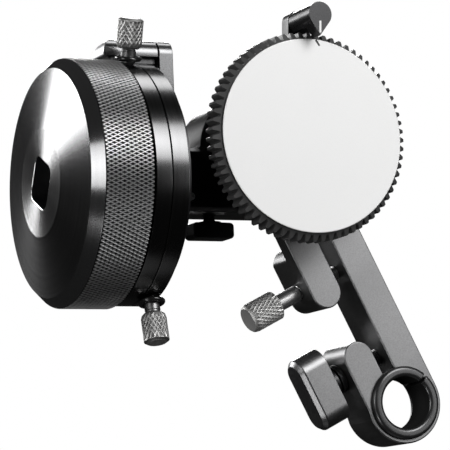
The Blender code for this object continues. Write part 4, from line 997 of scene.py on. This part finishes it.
class FOCUS_OT_pointer(Piece, bpy.types.Operator):
    """Model the pointer plate and the teardrop pointer with its white line"""
    bl_idname = "focus.pointer"
    bl_label = "Gear pointer"

    def execute(self, context):
        p = context.scene.focus_gear
        place = GEARBOX_PLACE @ Matrix.Rotation(p.pointer_tilt, 4, "Y")
        low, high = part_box("pointer_plate")
        half, curve, ring, hole = p.pointer_half, 0.0030, 0.0120, 0.0078
        edge = asin(half / ring)
        outline = arc((0, 0), ring, pi / 2 + edge, 5 * pi / 2 - edge, 60)
        outline += arc((half - curve, p.pointer_top - curve), curve, 0, pi / 2, 8)
        outline += arc((curve - half, p.pointer_top - curve), curve, pi / 2, pi, 8)
        plate = slab("pointer_stem", outline, low.y, high.y, "Y", place)
        bore(plate, hole, low.y - OVER, high.y + OVER, place @ ALONG_Y, TURNS)
        round_edges(plate, 0.00025)
        finished(plate, "black", "pointer_plate")
        centre = p.pointer_top - half
        lean = asin(half / (centre - p.pointer_tip))
        drop = arc((0, centre), half, -lean, pi + lean, 40) + [(0, p.pointer_tip)]
        rear = low.y - GAP
        shape = slab("pointer_drop", drop, -p.pointer_front, rear, "Y", place)
        tip = p.module * (p.teeth / 2 + 1)
        disc_front = p.back + p.width + GAP + p.disc_depth
        wide = half + OVER
        relief = square(-wide, wide, p.pointer_tip - OVER, tip + 0.0010)
        carve(shape, relief, -disc_front - GAP, rear + OVER, "Y", place)
        round_edges(shape, 0.00016)
        groove = square(-p.line / 2, p.line / 2, p.pointer_tip + 0.0009, p.line_top)
        floor = 0.0002 - p.pointer_front
        carve(shape, groove, -p.pointer_front - OVER, floor, "Y", place)
        finished(shape, "pointer", "gear_pointer")
        line = slab("pointer_line", groove, 0.00003 - p.pointer_front, floor, "Y", place)
        finished(line, "white", None, "gearbox")
        return {"FINISHED"}


class FOCUS_OT_lens_gear(Piece, bpy.types.Operator):
    """Model the lens gear: one tooth drawn, spun round, and both ends turned down"""
    bl_idname = "focus.lens_gear"
    bl_label = "Lens gear"

    def execute(self, context):
        p = context.scene.focus_gear
        tip, root = p.module * (p.teeth / 2 + 1), p.module * (p.teeth / 2 - 1.25)
        step = 2 * pi / p.teeth
        phase = radians(-0.45)
        flank = [(root, -0.5), (root, -0.385), (root + 0.00025, -0.325),
                 (root + 0.0009, -0.265), (tip - 0.0002, -0.185), (tip, -0.140)]
        flank += [(radius, -part) for radius, part in reversed(flank)]
        points = [(r * cos(phase + f * step), -p.back - p.width, r * sin(phase + f * step))
                  for r, f in flank]
        gear = pen("gear_ring", points[0])
        draw(points)
        bpy.ops.mesh.select_all(action="SELECT")
        bpy.ops.mesh.spin(steps=p.teeth, angle=2 * pi, dupli=True, center=(0, 0, 0),
                          axis=(0, 1, 0))
        weld()
        bpy.ops.mesh.edge_face_add()
        bpy.ops.mesh.extrude_region_move(TRANSFORM_OT_translate={"value": (0, p.width, 0)})
        closed_up(gear, GEARBOX_PLACE)
        foot, low, high = root - 0.0003, -p.back - p.width, -p.back
        proud = tip + 0.0002
        slope = (proud - foot) / (tip - foot) * p.chamfer
        blank = lathe("tool", [(0, low), (foot, low), (proud, low + slope), (proud, high - slope),
                               (foot, high), (0, high)], GEAR_LINE, p.teeth * 2)
        cut(gear, blank, "INTERSECT")
        bore(gear, SHAFT_HOLE, low - OVER, high + OVER, GEAR_LINE)
        flange_radius, flange_depth = 0.0093, 0.0020
        bore(gear, flange_radius, low - OVER, low + flange_depth, GEAR_LINE, ROUNDS)
        finished(gear, "gear", "lens_gear", angle=28)
        return {"FINISHED"}


class FOCUS_OT_marking_disc(Piece, bpy.types.Operator):
    """Model the white marking disc with its dark edge and a short dark stroke"""
    bl_idname = "focus.marking_disc"
    bl_label = "Marking disc"

    def execute(self, context):
        p = context.scene.focus_gear
        back = -p.back - p.width - GAP
        front = back - p.disc_depth
        lip = 0.00028
        profile = [(0, front)] + arc((p.disc - lip, front + lip), lip, -pi / 2, 0, 5)
        disc = lathe("write_on_disc", profile + [(p.disc, back), (0, back)], GEAR_LINE, 180)
        finished(disc, ("white", "ink"), "marking_disc",
                 where=lambda face: 0 if face.normal.y < -0.3 else 1)
        # a short dark stroke on the disc's face, below the pointer's tip
        high, low = Vector((0.00222, 0.02752)), Vector((0.00327, 0.02593))
        lead = (high - low).normalized()
        side = Vector((lead.y, -lead.x)) * 0.00034
        stroke = [high - side, high + side, low + side * 0.8, low - lead * 0.00012,
                  low - side * 0.8]
        mark = slab("pen_stroke", [tuple(point) for point in stroke], front - 0.00002,
                    front + 0.00010, "Y", GEARBOX_PLACE)
        finished(mark, "ink", None, "drive")
        return {"FINISHED"}


class FOCUS_OT_handwheel(Piece, bpy.types.Operator):
    """Model the handwheel: flat centre, cone, chamfer, sleeve and square socket"""
    bl_idname = "focus.handwheel"
    bl_label = "Handwheel"

    def execute(self, context):
        w = context.scene.focus_wheel
        under = w.grip - w.knurl - GRIP_BAND - 0.00005
        shell, hub, floor = 0.0260, 0.0110, -0.0580
        edge, grip_end, end = -w.grip_start - GAP / 2, -w.grip_end, -w.sleeve_end
        profile = [(0, -w.face), (w.face_radius, -w.face), (w.cone_radius, -w.cone_edge),
                   (w.grip - 0.0001, edge), (under, edge), (under, grip_end), (w.sleeve, grip_end),
                   (w.sleeve, end), (shell, end), (shell, floor), (hub, floor), (hub, end),
                   (0, end)]
        wheel = lathe("focus_wheel", profile, WHEEL_LINE, TURNS)
        face_x, rim_x = WHEEL_AXIS.x - w.face, WHEEL_AXIS.x - w.cone_edge

        def reach(point):
            return sqrt((point.y - WHEEL_AXIS.y) ** 2 + (point.z - WHEEL_AXIS.z) ** 2)

        choose(wheel, lambda face: face.calc_center_median().x < face_x + WELD)
        bpy.ops.mesh.dissolve_faces()
        leave_edit()
        choose(wheel, lambda edge: min(v.co.x for v in edge.verts) > rim_x + 0.001
               and edge.calc_face_angle(0) > radians(40), "edges")
        bevel_chosen(0.0001, 2)
        bore(wheel, SHAFT_HOLE, -w.face - OVER, OVER - w.sleeve_end, WHEEL_LINE)
        half = w.socket / 2
        carve(wheel, rounded(-half, half, -half, half, w.socket_corner), -w.face - OVER,
              w.socket_depth - w.face, "X", WHEEL_PLACE @ Matrix.Rotation(w.socket_turn, 4, "X"))
        choose(wheel, lambda edge: max(v.co.x for v in edge.verts) < face_x + WELD
               and max(reach(v.co) for v in edge.verts) < w.face_radius * 0.8
               and edge.calc_face_angle(0) > 1, "edges")
        bevel_chosen(0.0003, 3)

        def on_ring(edge, radius):
            return all(abs(reach(v.co) - radius) < 0.00005 and v.co.x < rim_x + WELD * 9
                       for v in edge.verts)

        choose(wheel, lambda edge: on_ring(edge, w.face_radius) or on_ring(edge, w.cone_radius),
               "edges")
        bpy.ops.mesh.mark_sharp()
        leave_edit()

        def which(face):
            """The flat centre is 0, the cone 1, the bright rim 2 and the rest 3."""
            middle = face.center
            if reach(middle) < half * 1.45 and middle.x > face_x + 0.0004:
                return 3
            if middle.x < rim_x + WELD:
                return 1 if reach(middle) > w.face_radius else 0
            return 2 if middle.x < WHEEL_AXIS.x - w.grip_start - 0.00015 else 3

        finished(wheel, ("wheel_flat", "wheel_face", "wheel_rim", "wheel_black"), "handwheel",
                 angle=30, keep=True, where=which)
        return {"FINISHED"}


class FOCUS_OT_grip(Piece, bpy.types.Operator):
    """Model the grip's diamond knurl as real ridges and pits"""
    bl_idname = "focus.grip"
    bl_label = "Knurled grip"

    def execute(self, context):
        w = context.scene.focus_wheel
        grip = knurled_rod("knurled_band", w.grip, -w.grip_start, -w.grip_end, 0.00012, 189, 11,
                           w.knurl, WHEEL_LINE, w.grip - w.knurl - GRIP_BAND)
        finished(grip, "grip", None, "wheel", angle=20)
        return {"FINISHED"}


class FOCUS_OT_wheel_inside(Piece, bpy.types.Operator):
    """Model the plate behind the rings and the nut at the bottom of the socket"""
    bl_idname = "focus.wheel_inside"
    bl_label = "Wheel plate and nut"

    def execute(self, context):
        low, high = (corner - WHEEL_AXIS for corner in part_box("wheel_back_plate"))
        plate = tube("ring_keeper", SHAFT_HOLE, (high.z - low.z) / 2, low.x, high.x, WHEEL_LINE,
                     TURNS)
        round_edges(plate, 0.0002)
        finished(plate, "wheel_black", "wheel_back_plate")
        low, high = (corner - WHEEL_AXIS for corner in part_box("wheel_nut"))
        nut = rod("socket_nut", 0.0055, low.x, high.x, WHEEL_LINE)
        bore(nut, 0.0025, low.x - OVER, low.x + 0.0018, WHEEL_LINE, 6)
        round_edges(nut, 0.0002)
        finished(nut, "wheel_black", "wheel_nut")
        return {"FINISHED"}


def screw_place(index):
    """Frame of a stop screw: Z points out of the wheel along the screw."""
    joint = JOINTS["ring_screw_%d_turn" % index]
    out = Vector(joint["axis"]).normalized()
    middle = Vector((joint["pos_m"][0], WHEEL_AXIS.y, WHEEL_AXIS.z))
    return Matrix.Translation(middle) @ out.to_track_quat("Z", "X").to_matrix().to_4x4()


class FOCUS_OT_stop_rings(Piece, bpy.types.Operator):
    """Model both stop rings"""
    bl_idname = "focus.stop_rings"
    bl_label = "Stop rings"

    def execute(self, context):
        w = context.scene.focus_wheel
        spans = ((1, -w.grip_end + w.ring_gap, -w.split - RUN), (2, -w.split + RUN, -w.sleeve_end))
        for index, low, high in spans:
            ring = tube("slip_ring_%d" % index, w.sleeve + RUN, w.ring, low, high, WHEEL_LINE, 160)
            round_edges(ring, 0.00022)
            bore(ring, 0.0019, w.sleeve - OVER, w.ring + OVER, screw_place(index), TINY)
            finished(ring, "ring", "stop_ring_%d" % index, angle=30)
        return {"FINISHED"}


class FOCUS_OT_stop_screws(Piece, bpy.types.Operator):
    """Model the stop rings' thumb screws: knurled knob, neck, thread and O-ring"""
    bl_idname = "focus.stop_screws"
    bl_label = "Stop screws"

    def execute(self, context):
        w = context.scene.focus_wheel
        foot, seat, head = w.sleeve + RUN + GAP, w.ring + GAP, w.knob_start - GAP
        shank, lip, step = 0.0016, 0.0003, 0.0002
        for index, o_ring_height in ((1, 0.0366), (2, 0.0360)):
            place = screw_place(index)
            profile = [(0, foot)] + thread(shank, foot + 0.0001, seat - 0.0002)
            profile += [(shank, seat), (w.neck - lip, seat), (w.neck, seat + lip),
                        (w.neck, head - 0.0006), (w.neck - step, head - 0.0004),
                        (w.neck - step, head), (0, head)]
            stud = lathe("stop_screw_%d" % index, profile, place, SMALLS)
            finished(stud, "stop_steel", "stop_stud_%d" % index, angle=30)
            knob = knurled_rod("stop_thumb_%d" % index, w.knob, w.knob_start, w.knob_end, 0.0006,
                               18, 8, KNOB_KNURL, place)
            finished(knob, "stop_knurl_%d" % index, "stop_knob_%d" % index, angle=20)
            section = arc((w.o_ring, o_ring_height), w.o_section, 0, 2 * pi, 20)[:-1]
            ring = lathe("rubber_ring_%d" % index, section, place, 48)
            finished(ring, "rubber", "o_ring_%d" % index, angle=60)
        return {"FINISHED"}


class FOCUS_OT_stop_plate(Piece, bpy.types.Operator):
    """Model the stop plate on the bar's end, its screws and the stop block over the rings"""
    bl_idname = "focus.stop_plate"
    bl_label = "Stop plate and block"

    def execute(self, context):
        w, g = context.scene.focus_wheel, context.scene.focus_gearbox
        behind, drop = WHEEL_AXIS.y, GEAR_AXIS.z - WHEEL_AXIS.z
        front, back = node_depth("housing")
        right = -g.bar_end - GAP
        left = right - w.plate
        crown = w.stop_top - w.stop_half
        outline = [(front, -g.bottom), (back, -g.bottom), (back, g.bar_top),
                   (behind + w.stop_half, g.bar_top)]
        outline += arc((behind, crown), w.stop_half, 0, pi, 24)
        outline += [(behind - w.stop_half, g.bar_top), (front, g.bar_top)]
        plate = slab("stop_stem", outline, left, right, "X", GEARBOX_PLACE)
        hub = from_gear(0, behind, -drop) @ ALONG_X
        hub_radius = 0.0050
        bore(plate, hub_radius, left - OVER, right + OVER, hub, ROUNDS)
        round_edges(plate, 0.0003)
        for index in (1, 2):
            low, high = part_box("plate_screw_%d" % index)
            middle = (low + high) / 2 - GEAR_AXIS
            place = from_gear(0, middle.y, middle.z) @ ALONG_X
            near, far = low.x - GEAR_AXIS.x, high.x - GEAR_AXIS.x
            start, end, step = left - OVER, right + OVER, near + 0.0019
            wide, narrow = 0.0022, 0.0014
            hole = [(0, start), (wide, start), (wide, step), (narrow, step), (narrow, end),
                    (0, end)]
            cut(plate, lathe("tool", hole, place, TINY))
            head, radius, shank, lip = near + 0.0016, 0.0019, 0.0011, 0.0002
            profile = [(0, near), (radius - lip, near), (radius, near + lip), (radius, head),
                       (shank, head)]
            profile += thread(shank, head + 0.0002, far - 0.0003, 0.0005, 0.00015)
            profile += [(shank - 0.0003, far), (0, far)]
            screw = lathe("plate_fixing_%d" % index, profile, place, TINY)
            bore(screw, 0.0009, near - OVER, near + 0.0010, place, 6)
            finished(screw, "steel_x", "plate_screw_%d" % index, angle=30)
        finished(plate, "block", "stop_plate")
        section = [(behind - w.stop_half, w.stop_under), (behind + w.stop_half, w.stop_under)]
        section += arc((behind, crown), w.stop_half, 0, pi, 32)
        seam = left - GAP
        block = slab("stop_nose", section, -w.stop_nose, seam, "X", GEARBOX_PLACE)
        # the rib fills the gap under the block down to just over the rings, standing in for the
        # shade there
        clear_of_rings = 0.00035
        rib = square(behind - w.stop_shade_rib, behind + w.stop_shade_rib, w.ring - drop + clear_of_rings,
                     w.stop_under + 0.0005)
        curve = 0.0047                          # radius of the block's upper front edge
        side = [(seam + OVER, w.stop_under - OVER), (seam + OVER, w.stop_top)]
        side += arc((curve - w.stop_nose, w.stop_top - curve), curve, pi / 2, pi, 24)
        side.append((-w.stop_nose, w.stop_under - OVER))
        reach = w.stop_half + OVER
        carve(block, side, behind - reach, behind + reach, "Y", GEARBOX_PLACE, "INTERSECT")
        carve(block, rib, 0.0022 - w.stop_nose, seam, "X", GEARBOX_PLACE, "UNION")
        round_edges(block, 0.0002, 2, 40)
        # faces turned to the left take the lighter nose finish, a painted highlight on the one
        # block
        finished(block, ("block", "nose"), "stop_block",
                 where=lambda face: int(face.normal.x < -0.3))
        return {"FINISHED"}


class FOCUS_OT_t_knob(Piece, bpy.types.Operator):
    """Model the T-shaped locking knob and its stud"""
    bl_idname = "focus.t_knob"
    bl_label = "Locking knob"

    def execute(self, context):
        g = context.scene.focus_gearbox
        place = from_gear(-g.t_x, WHEEL_AXIS.y, 0)
        half, boss_radius = 0.0035, 0.00345
        knob = slab("lock_handle", rounded(-g.t_half, g.t_half, -g.t_bottom, -g.t_top, g.t_round),
                    -half, half, "Y", place)
        boss = rod("tool", boss_radius, -g.t_bottom + 0.002, 0.0004 - g.t_top, place, ROUNDS)
        cut(knob, boss, "UNION")
        round_edges(knob, 0.0004, 3, 40)
        finished(knob, "black", "t_knob")
        low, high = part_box("t_stud")
        near, far = low.z - GEAR_AXIS.z, high.z - GEAR_AXIS.z
        shank = 0.00175
        profile = [(0, near), (shank, near), (shank, near + 0.0003)]
        profile += thread(shank, near + 0.0004, far - 0.0003) + [(0.0013, far), (0, far)]
        stud = lathe("lock_screw", profile, place, SMALLS)
        finished(stud, "black", "t_stud", angle=30)
        return {"FINISHED"}


class FOCUS_OT_inner_pieces(Piece, bpy.types.Operator):
    """Finish the shafts, helical gears and bushes, whose shapes stay as packed"""
    bl_idname = "focus.inner_pieces"
    bl_label = "Inner pieces"

    def execute(self, context):
        for node, name in (("drive_shaft", "steel_y"), ("wheel_shaft", "steel_x"),
                           ("wheel_helical", "steel"), ("drive_helical", "bronze"),
                           ("drive_bush_front", "bronze"), ("drive_bush_rear", "bronze"),
                           ("wheel_bush", "bronze")):
            materials = frame["nodes"][node].data.materials
            materials.clear()
            materials.append(finish_of(name))
        return {"FINISHED"}


# ---- studio ------------------------------------------------------------------------
def softbox(name, place, aim, wide, high, watts, grid):
    """A soft light whose grid keeps its light off the floor."""
    nothing_selected()
    bpy.ops.object.light_add(type="AREA", location=place)
    light = bpy.context.object
    light.name = name
    light.data.shape = "RECTANGLE"
    light.data.size, light.data.size_y = wide, high
    light.data.energy = watts
    light.data.spread = grid
    light.visible_camera = False
    light.rotation_euler = (Vector(aim) - Vector(place)).to_track_quat("-Z", "Y").to_euler()


class FOCUS_OT_studio(Piece, bpy.types.Operator):
    """Set the floor, the soft lights, the pale surroundings and the camera"""
    bl_idname = "focus.studio"
    bl_label = "Studio"

    def execute(self, context):
        s = context.scene.focus_studio
        nothing_selected()
        bpy.ops.mesh.primitive_circle_add(vertices=96, radius=0.22, fill_type="NGON",
                                          location=(0, 0, -s.floor))
        floor = bpy.context.object
        floor.name = "studio_floor"
        bpy.ops.object.transform_apply(location=True)
        paint = Paint("studio_white", grey(0.80), 0.6, 0.0)
        paint.link(paint.mix(paint.noise(3.0), grey(0.78) + (1,), grey(0.82) + (1,)),
                   "Base Color")
        floor.data.materials.append(paint.mat)
        aim = (-0.04, 0.0, 0.05)
        for name, place, wide, high, watts in (
                ("key_softbox", (0.31, -0.86, 0.62), 0.50, 0.65, s.key),
                ("front_softbox", (0.46, -0.66, 0.14), 0.30, 0.40, s.fill),
                ("left_softbox", (-0.98, -0.47, 0.21), 0.34, 0.55, s.side),
                ("low_softbox", (-0.76, -0.44, -0.52), 0.26, 0.26, s.low),
                ("rim_softbox", (0.27, 0.22, 0.97), 0.30, 0.36, s.rim),
                ("back_softbox", (-0.70, 0.815, 0.51), 0.58, 0.40, s.back),
                ("right_softbox", (0.35, 0.95, 0.42), 0.30, 0.30, s.right)):
            softbox(name, place, aim, wide, high, watts, s.grid)
        self.surroundings(context, s.ambient)
        view = [radians(angle) for angle in (97.54646, 2.26027, -23.98501)]
        bpy.ops.object.camera_add(location=(-0.405210, -0.783649, -0.061408), rotation=view)
        camera = bpy.context.object
        camera.name = "studio_camera"
        camera.data.sensor_width = 36.0
        camera.data.lens = s.lens
        camera.data.clip_start, camera.data.clip_end = 0.05, 20.0
        context.scene.camera = camera
        context.scene.view_settings.view_transform = "Standard"
        return {"FINISHED"}

    def surroundings(self, context, ambient):
        """White where the lens looks straight out, and dimmer as a light source."""
        world = bpy.data.worlds.new("studio_surroundings")
        context.scene.world = world
        world.use_nodes = True
        tree = world.node_tree
        dim = tree.nodes["Background"]
        clear = tree.nodes.new("ShaderNodeBackground")
        for shader, strength in ((dim, ambient), (clear, 1.0)):
            shader.inputs["Color"].default_value = (1.0, 1.0, 1.0, 1.0)
            shader.inputs["Strength"].default_value = strength
        path = tree.nodes.new("ShaderNodeLightPath")
        both = tree.nodes.new("ShaderNodeMixShader")
        tree.links.new(path.outputs["Is Camera Ray"], both.inputs["Fac"])
        tree.links.new(dim.outputs["Background"], both.inputs[1])
        tree.links.new(clear.outputs["Background"], both.inputs[2])
        tree.links.new(both.outputs["Shader"], tree.nodes["World Output"].inputs["Surface"])


PIECES = (FOCUS_OT_arm, FOCUS_OT_rod_bushing, FOCUS_OT_wing_knob, FOCUS_OT_clamp_screw,
          FOCUS_OT_gearbox, FOCUS_OT_rear_cover, FOCUS_OT_pointer, FOCUS_OT_lens_gear,
          FOCUS_OT_marking_disc, FOCUS_OT_handwheel, FOCUS_OT_grip, FOCUS_OT_wheel_inside,
          FOCUS_OT_stop_rings, FOCUS_OT_stop_screws, FOCUS_OT_stop_plate, FOCUS_OT_t_knob,
          FOCUS_OT_inner_pieces, FOCUS_OT_studio)


class FOCUS_PT_pieces(bpy.types.Panel):
    """Lists the pieces in the order in which they are made, and their sizes"""
    bl_idname = "FOCUS_PT_pieces"
    bl_label = "Follow focus"
    bl_space_type = "VIEW_3D"
    bl_region_type = "UI"
    bl_category = "Follow Focus"

    def draw(self, context):
        for piece in PIECES:
            self.layout.operator(piece.bl_idname)
        for name, group in GROUPS:
            box = self.layout.box()
            for key in group.__annotations__:
                box.prop(getattr(context.scene, name), key)


CLASSES = tuple(group for _, group in GROUPS) + PIECES + (FOCUS_PT_pieces,)


def register():
    for item in CLASSES:
        bpy.utils.register_class(item)
    for name, group in GROUPS:
        setattr(bpy.types.Scene, name, PointerProperty(type=group))


def unregister():
    for name, _ in GROUPS:
        delattr(bpy.types.Scene, name)
    for item in reversed(CLASSES):
        bpy.utils.unregister_class(item)


def main():
    register()
    for piece in PIECES:
        group, name = piece.bl_idname.split(".")
        getattr(getattr(bpy.ops, group), name)()
    nothing_selected()


if __name__ == "__main__":
    main()
